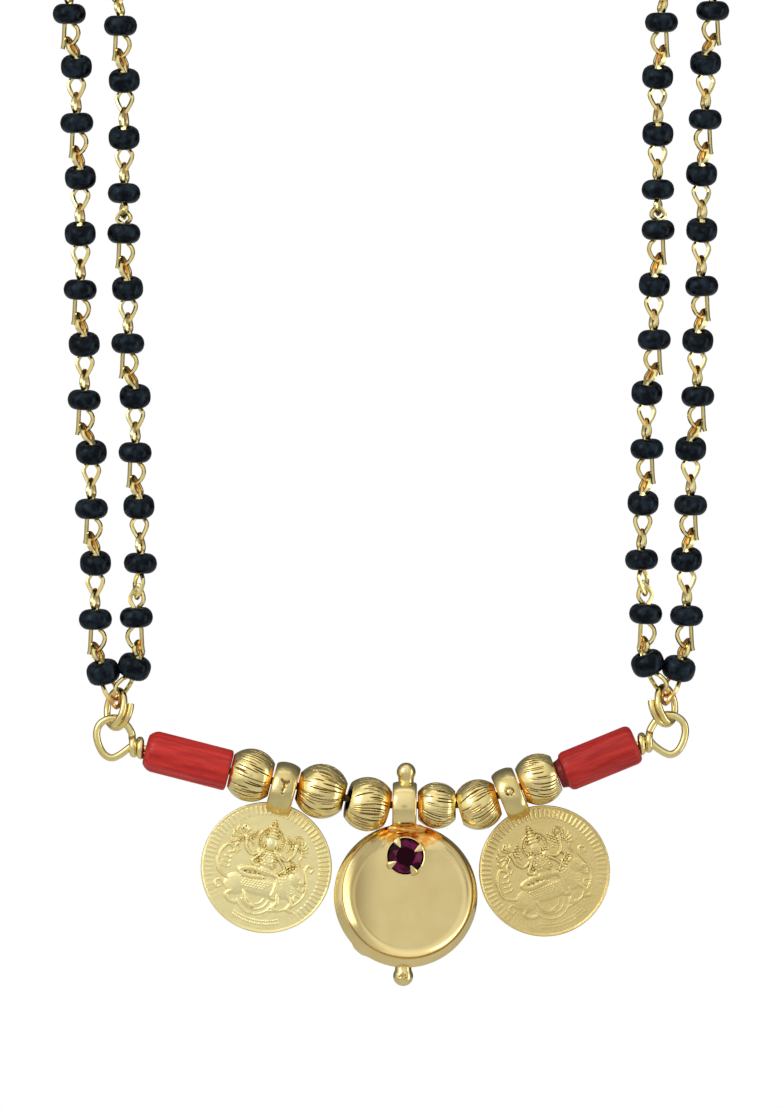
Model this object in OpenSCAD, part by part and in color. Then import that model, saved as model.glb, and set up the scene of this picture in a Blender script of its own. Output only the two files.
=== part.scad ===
// Temple necklace: two strings of black glass beads a side carry a bent gold bar,
// and on the bar sit coral tubes, gold beads, two coin pendants and one cup pendant.
// The origin is at the nape, +Z is up, and the pendants face -Y.

/* [Worn loop] */
// How far the front hangs ahead of the nape
front_reach = 112; // [90:1:130]
// Drop from the nape to the bar where the cup hangs
bar_drop = 185.5; // [160:0.5:210]
// Diameter of a string of black beads
string_dia = 3.2; // [2.4:0.1:3.6]

/* [Bar and wire rings] */
// Diameter of the bar wire
bar_wire_dia = 0.74; // [0.6:0.02:0.9]
// Wire diameter of the rings that join the strings to the bar
ring_wire_dia = 0.7; // [0.5:0.05:0.8]
// Diameter of such a ring, at the middle of its wire
ring_dia = 3.7; // [3.3:0.1:4.2]
// Diameter of the eye at each end of the bar, at the middle of its wire
eye_dia = 3.76; // [3.4:0.02:4.2]
// How far a ring is turned away from the front
ring_turn = 57; // [40:1:75]

/* [Coral and gold beads] */
// Length of a coral tube
coral_len = 8.5; // [7:0.1:8.6]
// Diameter of a coral tube
coral_dia = 4.0; // [3.4:0.1:4.6]
// Radius of a coral tube's rounded edge
coral_edge = 0.5; // [0.2:0.05:0.8]
// Hole through a coral tube
coral_hole = 1.1; // [0.9:0.1:1.6]
// Hole through a gold bead
bead_hole = 1.6; // [1.4:0.1:1.9]

/* [Coins] */
// Diameter of a coin
coin_dia = 13.1; // [11:0.1:13.2]
// Thickness of a coin at its rim
coin_thick = 1.0; // [0.8:0.1:1.2]
// Width of a coin's raised rim
coin_rim = 0.35; // [0.2:0.05:0.8]
// Depth of a coin's field below its rim
coin_field_depth = 0.15; // [0.1:0.05:0.25]
// Diameter of a coin's bail
coin_bail_dia = 5.4; // [4.8:0.1:5.6]

/* [Cup pendant] */
// Diameter of the cup over its rim
cup_dia = 14.34; // [13:0.02:14.4]
// Width of the rim's sloping outer band
cup_band_w = 0.58; // [0.4:0.02:0.8]
// Distance from the bar down to the middle of the cup
cup_hang = 9.05; // [9:0.05:9.6]
// Diameter of the cup's bail
cup_bail_dia = 5.0; // [4.6:0.1:5.2]
// Width of the cup's bail along the bar
cup_bail_w = 2.36; // [2:0.02:2.4]
// Diameter of the ball on top of the bail
top_ball_dia = 1.9; // [1.5:0.1:2.2]
// Diameter of the ball under the cup
low_ball_dia = 2.0; // [1.5:0.1:2.3]
// Diameter of the stone
stone_dia = 3.4; // [3:0.1:3.6]

/* [Clasp] */
// Length of the clasp's barrel
clasp_len = 9; // [7:0.5:12]
// Diameter of the clasp's barrel
clasp_dia = 4.4; // [3.6:0.1:5]

/* [Hidden] */

gold = [0.84, 0.69, 0.38];
coral = [0.78, 0.21, 0.17];
glass_black = [0.10, 0.11, 0.15];
stone_red = [0.30, 0.04, 0.14];

$fn = 48;
wire_r = bar_wire_dia / 2;
ring_r = ring_wire_dia / 2;
solder = 0.03;

// The bar, seen from the front: places across it and heights above where the cup hangs
bar_path = [[-26, 6], [-14.1, 2.95], [-6.85, 1.4], [-2.2, 0.1],
    [4.5, 0], [8.6, 0.2], [14.8, 2.6], [26, 6.5]];
slope_reach = 1.5;
function bar_height(x) = lookup(x, bar_path);
function bar_tilt(x) = atan2(bar_height(x + slope_reach) - bar_height(x - slope_reach), 2 * slope_reach);

// Coral tubes: place across the bar of the left one and the right one
coral_x = [-20.42, 20.56];

// Gold beads: place across the bar, length and diameter
BEAD_X = 0;
BEAD_LEN = 1;
BEAD_DIA = 2;
gold_beads = [
    [-14.1, 4.0, 5.3],
    [-6.85, 4.5, 5.5],
    [-2.24, 4.25, 5.4],
    [4.45, 3.6, 4.75],
    [8.62, 4.0, 4.95],
    [14.8, 3.5, 4.95]];

// Coin pendants: place across the bar, bail width, how low the bail hangs on the bar,
// distance from the bar down to the coin's middle, and the coin's shift along the bar
COIN_X = 0;
COIN_BAIL_W = 1;
COIN_BAIL_DROP = 2;
COIN_HANG = 3;
COIN_SHIFT = 4;
coins = [
    [-10.67, 2.5, 0.55, 8.61, 0],
    [11.85, 2.34, 0.35, 8.72, 0.37]];
bail_play = 0.05;
bail_edge = 0.3;

// Cup pendant: place across the bar and the parts of it, down from the bar
cup_x = 1.35;
cup_bail_drop = 0.1;
cup_shift = 0.25;
cup_rim_front = 1.1;
cup_widest_front = 0.28;
cup_rim_edge = 0.08;
dish_wall_w = 0.84;
// The dish and its setting stand this far ahead of the bar, so that the cup hangs upright
cup_forward = 0.34;
stone_shift = 0.17;
stone_hang = 5.02;
top_ball_rise = 3.3;
low_ball_hang = 17.1;
ball_neck = 1.3;
ball_neck_len = 1.6;
ball_shift = 0.12;

// Setting and stone: heights above the middle plane of the cup, towards the front
cup_back = -1.7;
dish_floor = 0.45;
girdle_front = 1.5;
crown_h = 0.6;
pavilion_h = 0.95;
girdle_h = 0.1;
table_dia = 2.0;
prong_r = 0.22;
prong_turn = 30;
stone_play = 0.06;

// Wraps of the bar's end, the eye beyond them and the ring in the eye
wrap_x = 25.1;
wrap_turns = 2;
wrap_pitch = 0.66;
eye_x = 27.75;
eye_height = [6.78, 7.12];
ring_x = 27.45;
ring_height = [9.65, 10];

// Clasp and end rings at the nape
clasp_eye_dia = 2.2;
clasp_wire_r = 0.4;
clasp_eye_x = 5.2;
end_ring_x = 6.9;
end_ring_dia = 3.2;
clasp_edge = 0.8;

// Strings: points along a left string from its ring up, round the neck and to the clasp
string_tip_r = 0.5;
string_slim_r = 1.35;
string_sides = 8;
front_outer = [
    [-27.95, -112, -173.25], [-28.8, -112, -172.2], [-29.3, -112, -169], [-29.7, -112, -158],
    [-30.4, -112, -147], [-30.9, -112, -135], [-31.3, -112, -122], [-32, -112, -109]];
front_inner = [
    [-26.85, -112, -173.1], [-25.75, -112, -171.8], [-25.4, -112, -168], [-25.2, -112, -158],
    [-25.6, -112, -147], [-26.3, -112, -135], [-26.65, -112, -122], [-27, -112, -109]];
neck_outer = [
    [-33.6, -111.5, -97], [-37, -109, -83], [-41.5, -105, -70], [-46, -98.5, -58.5],
    [-50.5, -90, -47.5], [-54.5, -79, -37], [-57.5, -66, -27], [-58.5, -52, -18.5],
    [-56.5, -38.5, -11.5], [-51, -26.5, -6.5], [-42.5, -16, -3.2], [-31.5, -8, -1.2],
    [-20.5, -2.8, -0.3], [-12, 1.6, 0], [-9.3, 0.9, 0]];
neck_inner = [
    [-28.6, -111, -97], [-32, -108, -83.5], [-36.5, -103.5, -71], [-41, -96.5, -59.5],
    [-45.5, -87.5, -48.5], [-49.5, -76.5, -37.5], [-52.5, -64, -27], [-53.5, -51, -18],
    [-51.5, -39, -10.5], [-46.5, -28.5, -5.5], [-38.5, -19, -2.2], [-28.5, -11.8, -0.5],
    [-19, -6.4, 0.2], [-12, -1.8, 0], [-9.3, -0.9, 0]];
// The right strings mirror the left ones, and at the front they hang this much higher
right_rise = 0.35;
function mirrored(points, rise) = [for (p = points) [-p.x, p.y, p.z + rise]];

// A tube swept along points: a frame is carried from ring to ring without twist
function unit(v) = v / norm(v);
function tangent(points, i) = unit(points[min(i + 1, len(points) - 1)] - points[max(i - 1, 0)]);
function square_to(v, t) = unit(v - (v * t) * t);
function carried(points, i, v) = i == len(points) ? [] :
    let (n = square_to(v, tangent(points, i))) concat([n], carried(points, i + 1, n));
function tube_radius(points, i) = let (from_end = min(i, len(points) - 1 - i))
    from_end == 0 ? string_tip_r : from_end == 1 ? string_slim_r : string_dia / 2;

module tube(points) {
    sides = string_sides;
    last = len(points) - 1;
    normals = carried(points, 0, [0, 1, 0]);
    rings = [for (i = [0:last], k = [0:sides - 1])
        let (t = tangent(points, i), n = normals[i], b = cross(t, n), a = 360 * k / sides)
        points[i] + tube_radius(points, i) * (cos(a) * n + sin(a) * b)];
    walls = [for (i = [0:last - 1], k = [0:sides - 1])
        let (m = (k + 1) % sides)
        [i * sides + k, (i + 1) * sides + k, (i + 1) * sides + m, i * sides + m]];
    start_cap = [for (k = [0:sides - 1]) k];
    end_cap = [for (k = [sides - 1:-1:0]) last * sides + k];
    polyhedron(rings, concat([start_cap, end_cap], walls));
}

// Puts a piece on the front plane, in heights above where the cup hangs
module at_front() {
    translate([0, -front_reach, -bar_drop]) children();
}

// Puts a piece on the bar at x, with its own X along the wire
module on_bar(x) {
    at_front() translate([x, 0, bar_height(x)]) rotate([0, -bar_tilt(x), 0]) children();
}

module rod_x(r, length) {
    rotate([0, 90, 0]) cylinder(r = r, h = length, center = true);
}

// A round piece about the X axis whose long edges are rounded
module drum_x(r, length, edge) {
    rotate([0, 90, 0]) rotate_extrude() {
        translate([0, -length / 2]) square([r - edge, length]);
        translate([0, edge - length / 2]) square([r, length - 2 * edge]);
        for (side = [-1, 1]) translate([r - edge, side * (length / 2 - edge)]) circle(edge);
    }
}

module wire_ring(dia, r) {
    rotate_extrude() translate([dia / 2, 0]) circle(r);
}

// One straight stretch of the bar, with a ball that fills the bend at its start
module bar_stretch(from, to) {
    run = to - from;
    translate([from.x, 0, from.y]) {
        rotate([0, atan2(run.x, run.y), 0]) cylinder(r = wire_r, h = norm(run));
        sphere(wire_r + solder);
    }
}

// The turns of wire that close the eye, about the X axis
module wraps() {
    rotate([0, 90, 0]) rotate_extrude() {
        translate([0, -wire_r]) square([2 * wire_r, (wrap_turns - 1) * wrap_pitch + 2 * wire_r]);
        for (k = [0:wrap_turns - 1]) translate([2 * wire_r, k * wrap_pitch]) circle(wire_r);
    }
}

module bar_wire() {
    color(gold) {
        at_front() for (i = [0:len(bar_path) - 2]) bar_stretch(bar_path[i], bar_path[i + 1]);
        for (side = [0, 1]) {
            sign = 2 * side - 1;
            on_bar(sign * wrap_x) rotate([0, 0, side == 0 ? 180 : 0]) wraps();
            at_front() translate([sign * eye_x, 0, eye_height[side]]) rotate([90, 0, 0])
                wire_ring(eye_dia, wire_r);
        }
    }
}

module coral_tube(side) {
    color(coral) on_bar(coral_x[side]) difference() {
        drum_x(coral_dia / 2, coral_len, coral_edge);
        rod_x(coral_hole / 2, coral_len + 1);
    }
}

module gold_bead(i) {
    row = gold_beads[i];
    length = row[BEAD_LEN];
    dia = row[BEAD_DIA];
    color(gold) on_bar(row[BEAD_X]) rotate([0, 90, 0]) rotate_extrude() intersection() {
        circle(d = dia);
        translate([bead_hole / 2, -length / 2]) square([dia, length]);
    }
}

// The bail's hole rests on the bar, so its middle lies below the wire by drop
module bail_hole(drop, width) {
    translate([0, 0, -drop]) rod_x(wire_r + bail_play + drop, width + 1);
}

module coin_pendant(side) {
    row = coins[side];
    color(gold) on_bar(row[COIN_X]) difference() {
        union() {
            translate([0, 0, -row[COIN_BAIL_DROP]])
                drum_x(coin_bail_dia / 2, row[COIN_BAIL_W], bail_edge);
            translate([row[COIN_SHIFT], 0, -row[COIN_HANG]]) rotate([90, 0, 0])
                difference() {
                    cylinder(d = coin_dia, h = coin_thick, center = true);
                    for (face = [-1, 1]) translate([0, 0, face * coin_thick / 2])
                        cylinder(d = coin_dia - 2 * coin_rim, h = 2 * coin_field_depth, center = true);
                }
        }
        bail_hole(row[COIN_BAIL_DROP], row[COIN_BAIL_W]);
    }
}

// The cup's back, its rim with the sloping outer band, and the shallow dish inside the rim,
// turned about the axis that faces the front
module cup_shell() {
    r = cup_dia / 2;
    edge_r = r - cup_band_w;
    wall_r = edge_r - cup_rim_edge;
    rotate([90, 0, 0]) rotate_extrude()
        polygon([[0, cup_back], [r - 4.5, cup_back], [r - 1.8, cup_back + 0.38], [r - 0.45, cup_back + 1.15],
            [r, cup_widest_front], [edge_r, cup_rim_front], [wall_r, cup_rim_front],
            [wall_r - dish_wall_w * 0.6, dish_floor + 0.2], [wall_r - dish_wall_w, dish_floor], [0, dish_floor]]);
}

// The cone that the stone sits in and the claws that hold it
module setting() {
    base = dish_floor - 0.3;
    seat_r = stone_dia / 2 - 0.2;
    rotate([90, 0, 0]) {
        difference() {
            translate([0, 0, base])
                cylinder(r1 = 1.1, r2 = stone_dia / 2 + prong_r, h = girdle_front - 0.35 - base);
            translate([0, 0, girdle_front - pavilion_h - 3 * stone_play])
                cylinder(r1 = 0, r2 = stone_dia / 2 + stone_play, h = pavilion_h + stone_play);
        }
        for (k = [0:3]) rotate([0, 0, prong_turn + 90 * k]) {
            translate([stone_dia / 2 + prong_r + stone_play, 0, 0.2])
                cylinder(r = prong_r, h = girdle_front + 0.2);
            translate([stone_dia / 2 + prong_r + stone_play, 0, girdle_front + 0.4])
                rotate([0, -60, 0]) cylinder(r = prong_r, h = seat_r / 3);
            translate([stone_dia / 2 + prong_r + stone_play, 0, girdle_front + 0.4])
                sphere(prong_r + solder / 3);
        }
    }
}

// A solid ball with its neck, which points up for a direction of 1 and down for -1
module ball(dia, direction) {
    sphere(d = dia);
    mirror([0, 0, (1 - direction) / 2]) translate([0, 0, ball_neck / 4])
        cylinder(d = ball_neck, h = ball_neck_len);
}

module cup_pendant() {
    color(gold) on_bar(cup_x) difference() {
        union() {
            translate([0, 0, -cup_bail_drop]) drum_x(cup_bail_dia / 2, cup_bail_w, bail_edge);
            translate([cup_shift, -cup_forward, -cup_hang]) cup_shell();
            translate([stone_shift, -cup_forward, -stone_hang]) setting();
            translate([ball_shift, 0, top_ball_rise]) ball(top_ball_dia, -1);
            translate([ball_shift, 0, -low_ball_hang]) ball(low_ball_dia, 1);
        }
        bail_hole(cup_bail_drop, cup_bail_w);
    }
}

module stone() {
    r = stone_dia / 2;
    color(stone_red) on_bar(cup_x) translate([stone_shift, -cup_forward, -stone_hang])
        rotate([90, 0, 0]) translate([0, 0, girdle_front]) rotate_extrude() polygon([[0, -pavilion_h], [r, 0],
            [r, girdle_h], [table_dia / 2, crown_h], [0, crown_h]]);
}

module jump_ring(side) {
    sign = 2 * side - 1;
    color(gold) at_front() translate([sign * ring_x, 0, ring_height[side]])
        rotate([0, 0, sign * ring_turn]) rotate([90, 0, 0]) wire_ring(ring_dia, ring_r);
}

module string_left(front, neck) {
    color(glass_black) tube(concat(front, neck));
}

module string_right(front, neck) {
    color(glass_black) tube(concat(mirrored(front, right_rise), mirrored(neck, 0)));
}

module end_ring(sign) {
    color(gold) translate([sign * end_ring_x, 0, 0]) wire_ring(end_ring_dia, ring_r);
}

module clasp() {
    color(gold) {
        drum_x(clasp_dia / 2, clasp_len, clasp_edge);
        for (sign = [-1, 1]) translate([sign * clasp_eye_x, 0, 0]) rotate([90, 0, 0])
            wire_ring(clasp_eye_dia, clasp_wire_r);
    }
}

bar_wire();
coral_tube(0);  // coral_tube_left
coral_tube(1);  // coral_tube_right
gold_bead(0);  // gold_bead_1
gold_bead(1);  // gold_bead_2
gold_bead(2);  // gold_bead_3
gold_bead(3);  // gold_bead_4
gold_bead(4);  // gold_bead_5
gold_bead(5);  // gold_bead_6
coin_pendant(0);  // coin_left
coin_pendant(1);  // coin_right
cup_pendant();
stone();
jump_ring(0);  // jump_ring_left
jump_ring(1);  // jump_ring_right
string_left(front_outer, neck_outer);  // string_left_outer
string_left(front_inner, neck_inner);  // string_left_inner
string_right(front_inner, neck_inner);  // string_right_inner
string_right(front_outer, neck_outer);  // string_right_outer
end_ring(-1);  // end_ring_left
end_ring(1);  // end_ring_right
clasp();
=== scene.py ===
# %% [markdown]
# # A marriage necklace: black beads, coral, gold beads, two coins and a cup
#
# The real piece hangs from the nape. Two strings of black glass beads a side come down to a wire
# ring, and the two rings carry a bent gold bar. On the bar sit a coral tube at each end, six
# engraved gold beads, two coin drops and, in the middle, a dished cup with a dark red stone.
# Places and sizes repeat those of the packed model, in its millimetres. What this lesson adds is
# how each piece looks, down to beads and links that are too small to be packed one by one.

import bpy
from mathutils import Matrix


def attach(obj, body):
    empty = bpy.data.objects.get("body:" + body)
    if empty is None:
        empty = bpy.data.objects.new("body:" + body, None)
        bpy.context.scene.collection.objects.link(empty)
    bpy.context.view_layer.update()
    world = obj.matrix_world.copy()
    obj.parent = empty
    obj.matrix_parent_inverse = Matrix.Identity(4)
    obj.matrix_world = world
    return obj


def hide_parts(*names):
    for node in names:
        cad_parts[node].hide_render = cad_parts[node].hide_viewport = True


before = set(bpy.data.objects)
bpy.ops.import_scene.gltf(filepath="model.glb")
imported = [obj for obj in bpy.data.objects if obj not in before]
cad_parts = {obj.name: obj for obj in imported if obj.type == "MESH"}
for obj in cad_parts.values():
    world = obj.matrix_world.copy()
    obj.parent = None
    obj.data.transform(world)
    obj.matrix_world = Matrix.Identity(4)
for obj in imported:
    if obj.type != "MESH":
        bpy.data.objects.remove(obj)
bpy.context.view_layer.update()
print("nodes in the packed model:", len(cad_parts))

# %% Modules and units
import math

import bmesh
import bpy
import numpy as np
from mathutils import Matrix, Vector

MM = 0.001
TURN = 2 * math.pi
SIDES = {"left": -1, "right": 1}
rng = np.random.default_rng(7)


def spun(degrees, axis):
    """A turn about an axis, as a matrix."""
    return Matrix.Rotation(math.radians(degrees), 4, axis)


def at(x, y, z):
    """A move by x, y and z, as a matrix."""
    return Matrix.Translation((x, y, z))


def clamp(value, top=1):
    """The value, held between 0 and top."""
    return np.clip(value, 0, top)


print("one millimetre is", MM, "of Blender's metres")

# %% [markdown]
# ## Camera
#
# The photograph is taken level and square to the bar, from far enough away that nothing is
# foreshortened. A long lens does the same. Its focal length follows from the height of the
# picture at the bar's plane: sensor height over lens length equals picture height over distance.

# %% Place the camera
FRONT = -112.0
BAR_Z = -185.5
PHOTO_HIGH = 110.8
PHOTO_MIDDLE = (-0.1, -160.35)
CAMERA_AWAY = 650.0
SENSOR = 36.0

scene = bpy.context.scene
camera_data = bpy.data.cameras.new("camera")
camera_data.sensor_width = SENSOR
camera_data.lens = SENSOR * CAMERA_AWAY / PHOTO_HIGH
camera = bpy.data.objects.new("camera", camera_data)
camera.location = Vector((PHOTO_MIDDLE[0], FRONT - CAMERA_AWAY, PHOTO_MIDDLE[1])) * MM
camera.rotation_euler = (math.pi / 2, 0, 0)
scene.collection.objects.link(camera)
scene.camera = camera
print("lens in mm:", round(camera_data.lens, 1))

# %% [markdown]
# ## Sums of sockets
#
# A material is a tree of nodes. Written link by link it is hard to read, so one small class
# wraps a socket and lets plain maths add the nodes: `1 - mask` makes a subtract node.


# %% The socket
class Value:
    """A socket of a node tree that can stand in a sum."""

    def __init__(self, recipe, socket):
        self.recipe = recipe
        self.socket = socket

    def sum_with(self, operation, other, turned=False):
        pair = (other, self) if turned else (self, other)
        kind = "VectorMath" if self.socket.type == "VECTOR" else "Math"
        return self.recipe.add(kind, {"operation": operation}, dict(enumerate(pair)))

    def __add__(self, other):
        return self.sum_with("ADD", other)

    def __radd__(self, other):
        return self.sum_with("ADD", other, True)

    def __sub__(self, other):
        return self.sum_with("SUBTRACT", other)

    def __rsub__(self, other):
        return self.sum_with("SUBTRACT", other, True)

    def __mul__(self, other):
        return self.sum_with("MULTIPLY", other)

    def __rmul__(self, other):
        return self.sum_with("MULTIPLY", other, True)

    def __pow__(self, other):
        return self.sum_with("POWER", other)


print("a socket knows its", ", ".join(vars(Value(None, None))))

# %% [markdown]
# Any other node comes from `Recipe.add`, which takes its type, its settings and what goes into
# its sockets. A socket can be fed with another socket, a number or a colour, and one number
# stands for all the parts of a colour or a vector.


# %% The recipe
class Recipe:
    """A node tree, and the one method that adds a node to it."""

    def __init__(self, tree):
        self.tree = tree

    def feed(self, socket, value):
        if isinstance(value, Value):
            self.tree.links.new(value.socket, socket)
        elif socket.type in ("VECTOR", "RGBA") and not hasattr(value, "__len__"):
            socket.default_value = [value] * len(socket.default_value)
        else:
            socket.default_value = value

    def add(self, kind, settings=None, sockets=None, out=0):
        node = self.tree.nodes.new("ShaderNode" + kind)
        for key, value in (settings or {}).items():
            if key == "stops":
                ramp = node.color_ramp.elements
                while len(ramp) < len(value):
                    ramp.new(0.5)
                for stop, (place, colour) in zip(ramp, value):
                    stop.position = place
                    stop.color = colour
            else:
                setattr(node, key, value)
        for key, value in (sockets or {}).items():
            self.feed(node.inputs[key], value)
        return Value(self, node.outputs[out])


print("a recipe can", ", ".join(name for name in vars(Recipe) if name[0] != "_"))

# %% [markdown]
# A finish is the recipe of one material. Every finish here is mixed from the same few patterns:
# noise, a mix of two colours, an even rise between two values, and a bump.


# %% The finish
class Finish(Recipe):
    """A material with its principled shader. Each point's lie is its place in its own piece, in mm.
    Its cut runs from 0 on the plain surface to 1 at the bottom of an engraved line, and where it is
    high it is painted shade. It runs down to -0.5 where warm painted reflection lies between parts.
    On coral it is painted shade."""

    def __init__(self, name, **steady):
        self.material = bpy.data.materials.new(name)
        self.material.use_nodes = True
        super().__init__(self.material.node_tree)
        self.shader = self.tree.nodes["Principled BSDF"]
        for key, value in steady.items():
            self.shader.inputs[key.replace("_", " ")].default_value = value
        self.lie = self.add("Attribute", {"attribute_name": "lie"}, out="Vector")
        self.cut = self.add("Attribute", {"attribute_name": "cut"}, out="Fac")

    def set(self, name, value):
        self.feed(self.shader.inputs[name], value)

    def noise(self, scale, detail=2.0, vector=None):
        return self.add("TexNoise", {}, {"Vector": vector or self.lie, "Scale": scale, "Detail": detail})

    def mix(self, factor, a, b):
        return self.add("Mix", {"data_type": "RGBA"}, {0: factor, 6: a, 7: b}, out=2)

    def ramp(self, factor, low, high):
        """0 below low, 1 above high and an even rise between them."""
        return self.add("MapRange", {}, {0: factor, 1: low, 2: high})

    def bump(self, height, rise):
        """Bends the normal as if the surface rose by height times rise millimetres."""
        self.set("Normal", self.add("Bump", {}, {"Height": height, "Distance": rise * MM}))


print("a finish can also", ", ".join(name for name in vars(Finish) if name[0] != "_"))

# %% [markdown]
# ## Gold
#
# The gold is plating. On beads, cup and wire it is polished, with faint ripples from the metal
# under it, and on the coins it is satin. A metal's colour is all in its reflections, so the base
# colour is the colour of light that comes back once. Between the beads light comes back two or
# three times, and the yellow deepens to orange by itself. On top of that, warm orange is painted
# in where pieces meet, as painted reflection. Engraved lines, holes, dents, crevices, the cup's
# wall and the bar between the beads are painted dark, as painted shade.

# %% Gold finishes
# The first colour is painted warm reflection, and the other three are painted shade
PAINTED_REFLECTION_GOLD = (0.76, 0.33, 0.05, 1)
OLIVE_GOLD = (0.40, 0.28, 0.09)
BROWN_GOLD = (0.48, 0.29, 0.08)
PAINTED_SHADE_GOLD = (0.07, 0.04, 0.012, 1)
# Two tones that the gold drifts between, and the tone it takes where it is hollow, which is painted shade
CUP_TONES = (0.90, 0.73, 0.34), (0.86, 0.68, 0.30), BROWN_GOLD
BEAD_TONES = (0.97, 0.82, 0.38), (0.90, 0.72, 0.27), BROWN_GOLD
BAIL_TONES = (0.80, 0.67, 0.30), (0.72, 0.57, 0.22), BROWN_GOLD
WIRE_TONES = (0.93, 0.79, 0.36), (0.86, 0.69, 0.27), BROWN_GOLD
COIN_TONES = (1.0, 0.89, 0.45), (1.0, 0.85, 0.41), OLIVE_GOLD
WORN_TONES = (0.88, 0.70, 0.30), (0.81, 0.64, 0.25), OLIVE_GOLD
# Waves to a millimetre in the drift of colour, in the ripples and in the grain
DRIFT_SCALE, RIPPLE_SCALE, GRAIN_SCALE = 0.5, 1.1, 9.0
# The drift's share of the deep tone rises between the first pair. Over the other three pairs of
# the cut, gold turns to its hollow tone and to dark, both painted shade, and to painted warm reflection
DRIFT_SPAN, PAINTED_HOLLOW_SPAN, PAINTED_SHADE_SPAN, PAINTED_REFLECTION_SPAN = (0.35, 0.7), (0.0, 0.5), (0.4, 1.0), (0.0, -0.5)


def gold(name, tones, rough, rough_more, ripple, grain):
    """Metal whose colour and roughness drift a little, with ripples of about 1 mm and fine grain."""
    finish = Finish(name, Metallic=1.0)
    pale, deep, hollow = ((*tone, 1) for tone in tones)
    drift = finish.noise(DRIFT_SCALE, 3.0)
    fine = finish.noise(GRAIN_SCALE, 4.0)
    clean = finish.mix(finish.ramp(drift, *DRIFT_SPAN), pale, deep)
    # Painted shade where the cut rises, and painted warm reflection where it falls below 0
    painted_hollow = finish.mix(finish.ramp(finish.cut, *PAINTED_HOLLOW_SPAN), clean, hollow)
    painted_dark = finish.mix(finish.ramp(finish.cut, *PAINTED_SHADE_SPAN), painted_hollow, PAINTED_SHADE_GOLD)
    finish.set("Base Color", finish.mix(finish.ramp(finish.cut, *PAINTED_REFLECTION_SPAN), painted_dark, PAINTED_REFLECTION_GOLD))
    finish.set("Roughness", rough + rough_more * fine)
    finish.bump(finish.noise(RIPPLE_SCALE, 2.0) * ripple + fine * grain, 1.0)
    return finish


# Tones, roughness and how much the grain adds to it, and the rise of ripples and grain in mm
polished_gold = gold("polished_gold", CUP_TONES, 0.15, 0.06, 0.0, 0.002)
bead_gold = gold("bead_gold", BEAD_TONES, 0.12, 0.14, 0.03, 0.006)
satin_gold = gold("satin_gold", BAIL_TONES, 0.12, 0.14, 0.04, 0.012)
wire_gold = gold("wire_gold", WIRE_TONES, 0.12, 0.12, 0.01, 0.004)
coin_gold = gold("coin_gold", COIN_TONES, 0.24, 0.18, 0.05, 0.03)
worn_coin_gold = gold("worn_coin_gold", WORN_TONES, 0.2, 0.18, 0.04, 0.03)
print("finishes so far:", [material.name for material in bpy.data.materials])

# %% [markdown]
# ## Glass, coral and the red stone
#
# The black beads are navy glass with a soft shine: the light on them is a broad pale patch and
# not a sharp star, and paler patches of painted sheen are mixed into their colour too. Coral is a
# hard skeleton, ground and polished. It shows streaks along its growth, so the pattern is noise
# that is stretched lengthwise. The stone is cut glass on a dark foil, and its facets get tones of
# painted light and shade.

# %% Glass, coral and stone finishes
# The second colour is a painted sheen, mixed into the glass in paler patches
NAVY, NAVY_PAINTED_SHEEN = (0.002, 0.002, 0.004, 1), (0.014, 0.024, 0.034, 1)
CORAL_DEEP, CORAL_PALE = (0.46, 0.015, 0.012, 1), (0.65, 0.031, 0.021, 1)
CORAL_VEIN, CORAL_SHADE = (0.69, 0.05, 0.036, 1), (0.10, 0.003, 0.003, 1)
# The two facet colours are painted shade and a painted glint
FACET_PAINTED_SHADE, FACET_PAINTED_GLINT = (0.008, 0.0, 0.001, 1), (0.2, 0.012, 0.075, 1)
ALONG_TUBE = (0.12, 1.0, 1.0)

black_glass = Finish("black_glass", IOR=1.5, Specular_IOR_Level=0.12, Specular_Tint=(0.7, 0.9, 1.0, 1))
# This noise sets the roughness and, through the ramp below, the patches of painted sheen
worn = black_glass.noise(1.3, 3.0)
painted_sheen = black_glass.ramp(worn, 0.42, 0.66)
black_glass.set("Base Color", black_glass.mix(painted_sheen, NAVY, NAVY_PAINTED_SHEEN))
black_glass.set("Roughness", 0.12 + 0.2 * worn)
black_glass.bump(black_glass.noise(5.0, 3.0), 0.006)

coral = Finish("coral", IOR=1.5, Specular_IOR_Level=0.28, Coat_Roughness=0.15)
along = coral.lie * ALONG_TUBE
streak = coral.noise(2.2, 4.0, along)
vein = coral.noise(5.5, 3.0, along)
red = coral.mix(coral.ramp(streak, 0.38, 0.62), CORAL_DEEP, CORAL_PALE)
veined = coral.mix(coral.ramp(vein, 0.62, 0.8), red, CORAL_VEIN)
coral.set("Base Color", coral.mix(coral.cut, veined, CORAL_SHADE))
coral.set("Roughness", 0.24 + 0.2 * vein)
coral.set("Coat Weight", 0.12 * streak)
coral.bump(streak * 0.05 + vein * 0.02, 1.0)

red_stone = Finish("red_stone", IOR=1.6, Specular_IOR_Level=0.1, Specular_Tint=(1.0, 0.7, 0.9, 1))
tone = red_stone.add("Attribute", {"attribute_name": "tone"}, out="Fac")
red_stone.set("Base Color", red_stone.mix(tone, FACET_PAINTED_SHADE, FACET_PAINTED_GLINT))
red_stone.set("Roughness", 0.05 + 0.05 * red_stone.noise(2.0))
print("glass, coral and stone are ready")

# %% [markdown]
# ## Shapes
#
# Points are in millimetres, and each point also keeps its lie, its place before the piece was
# put where it belongs, so that a pattern follows the piece and not the room. Nearly all faces
# here lie in a grid of rows and columns, so their corners can be worked out at once.


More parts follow.
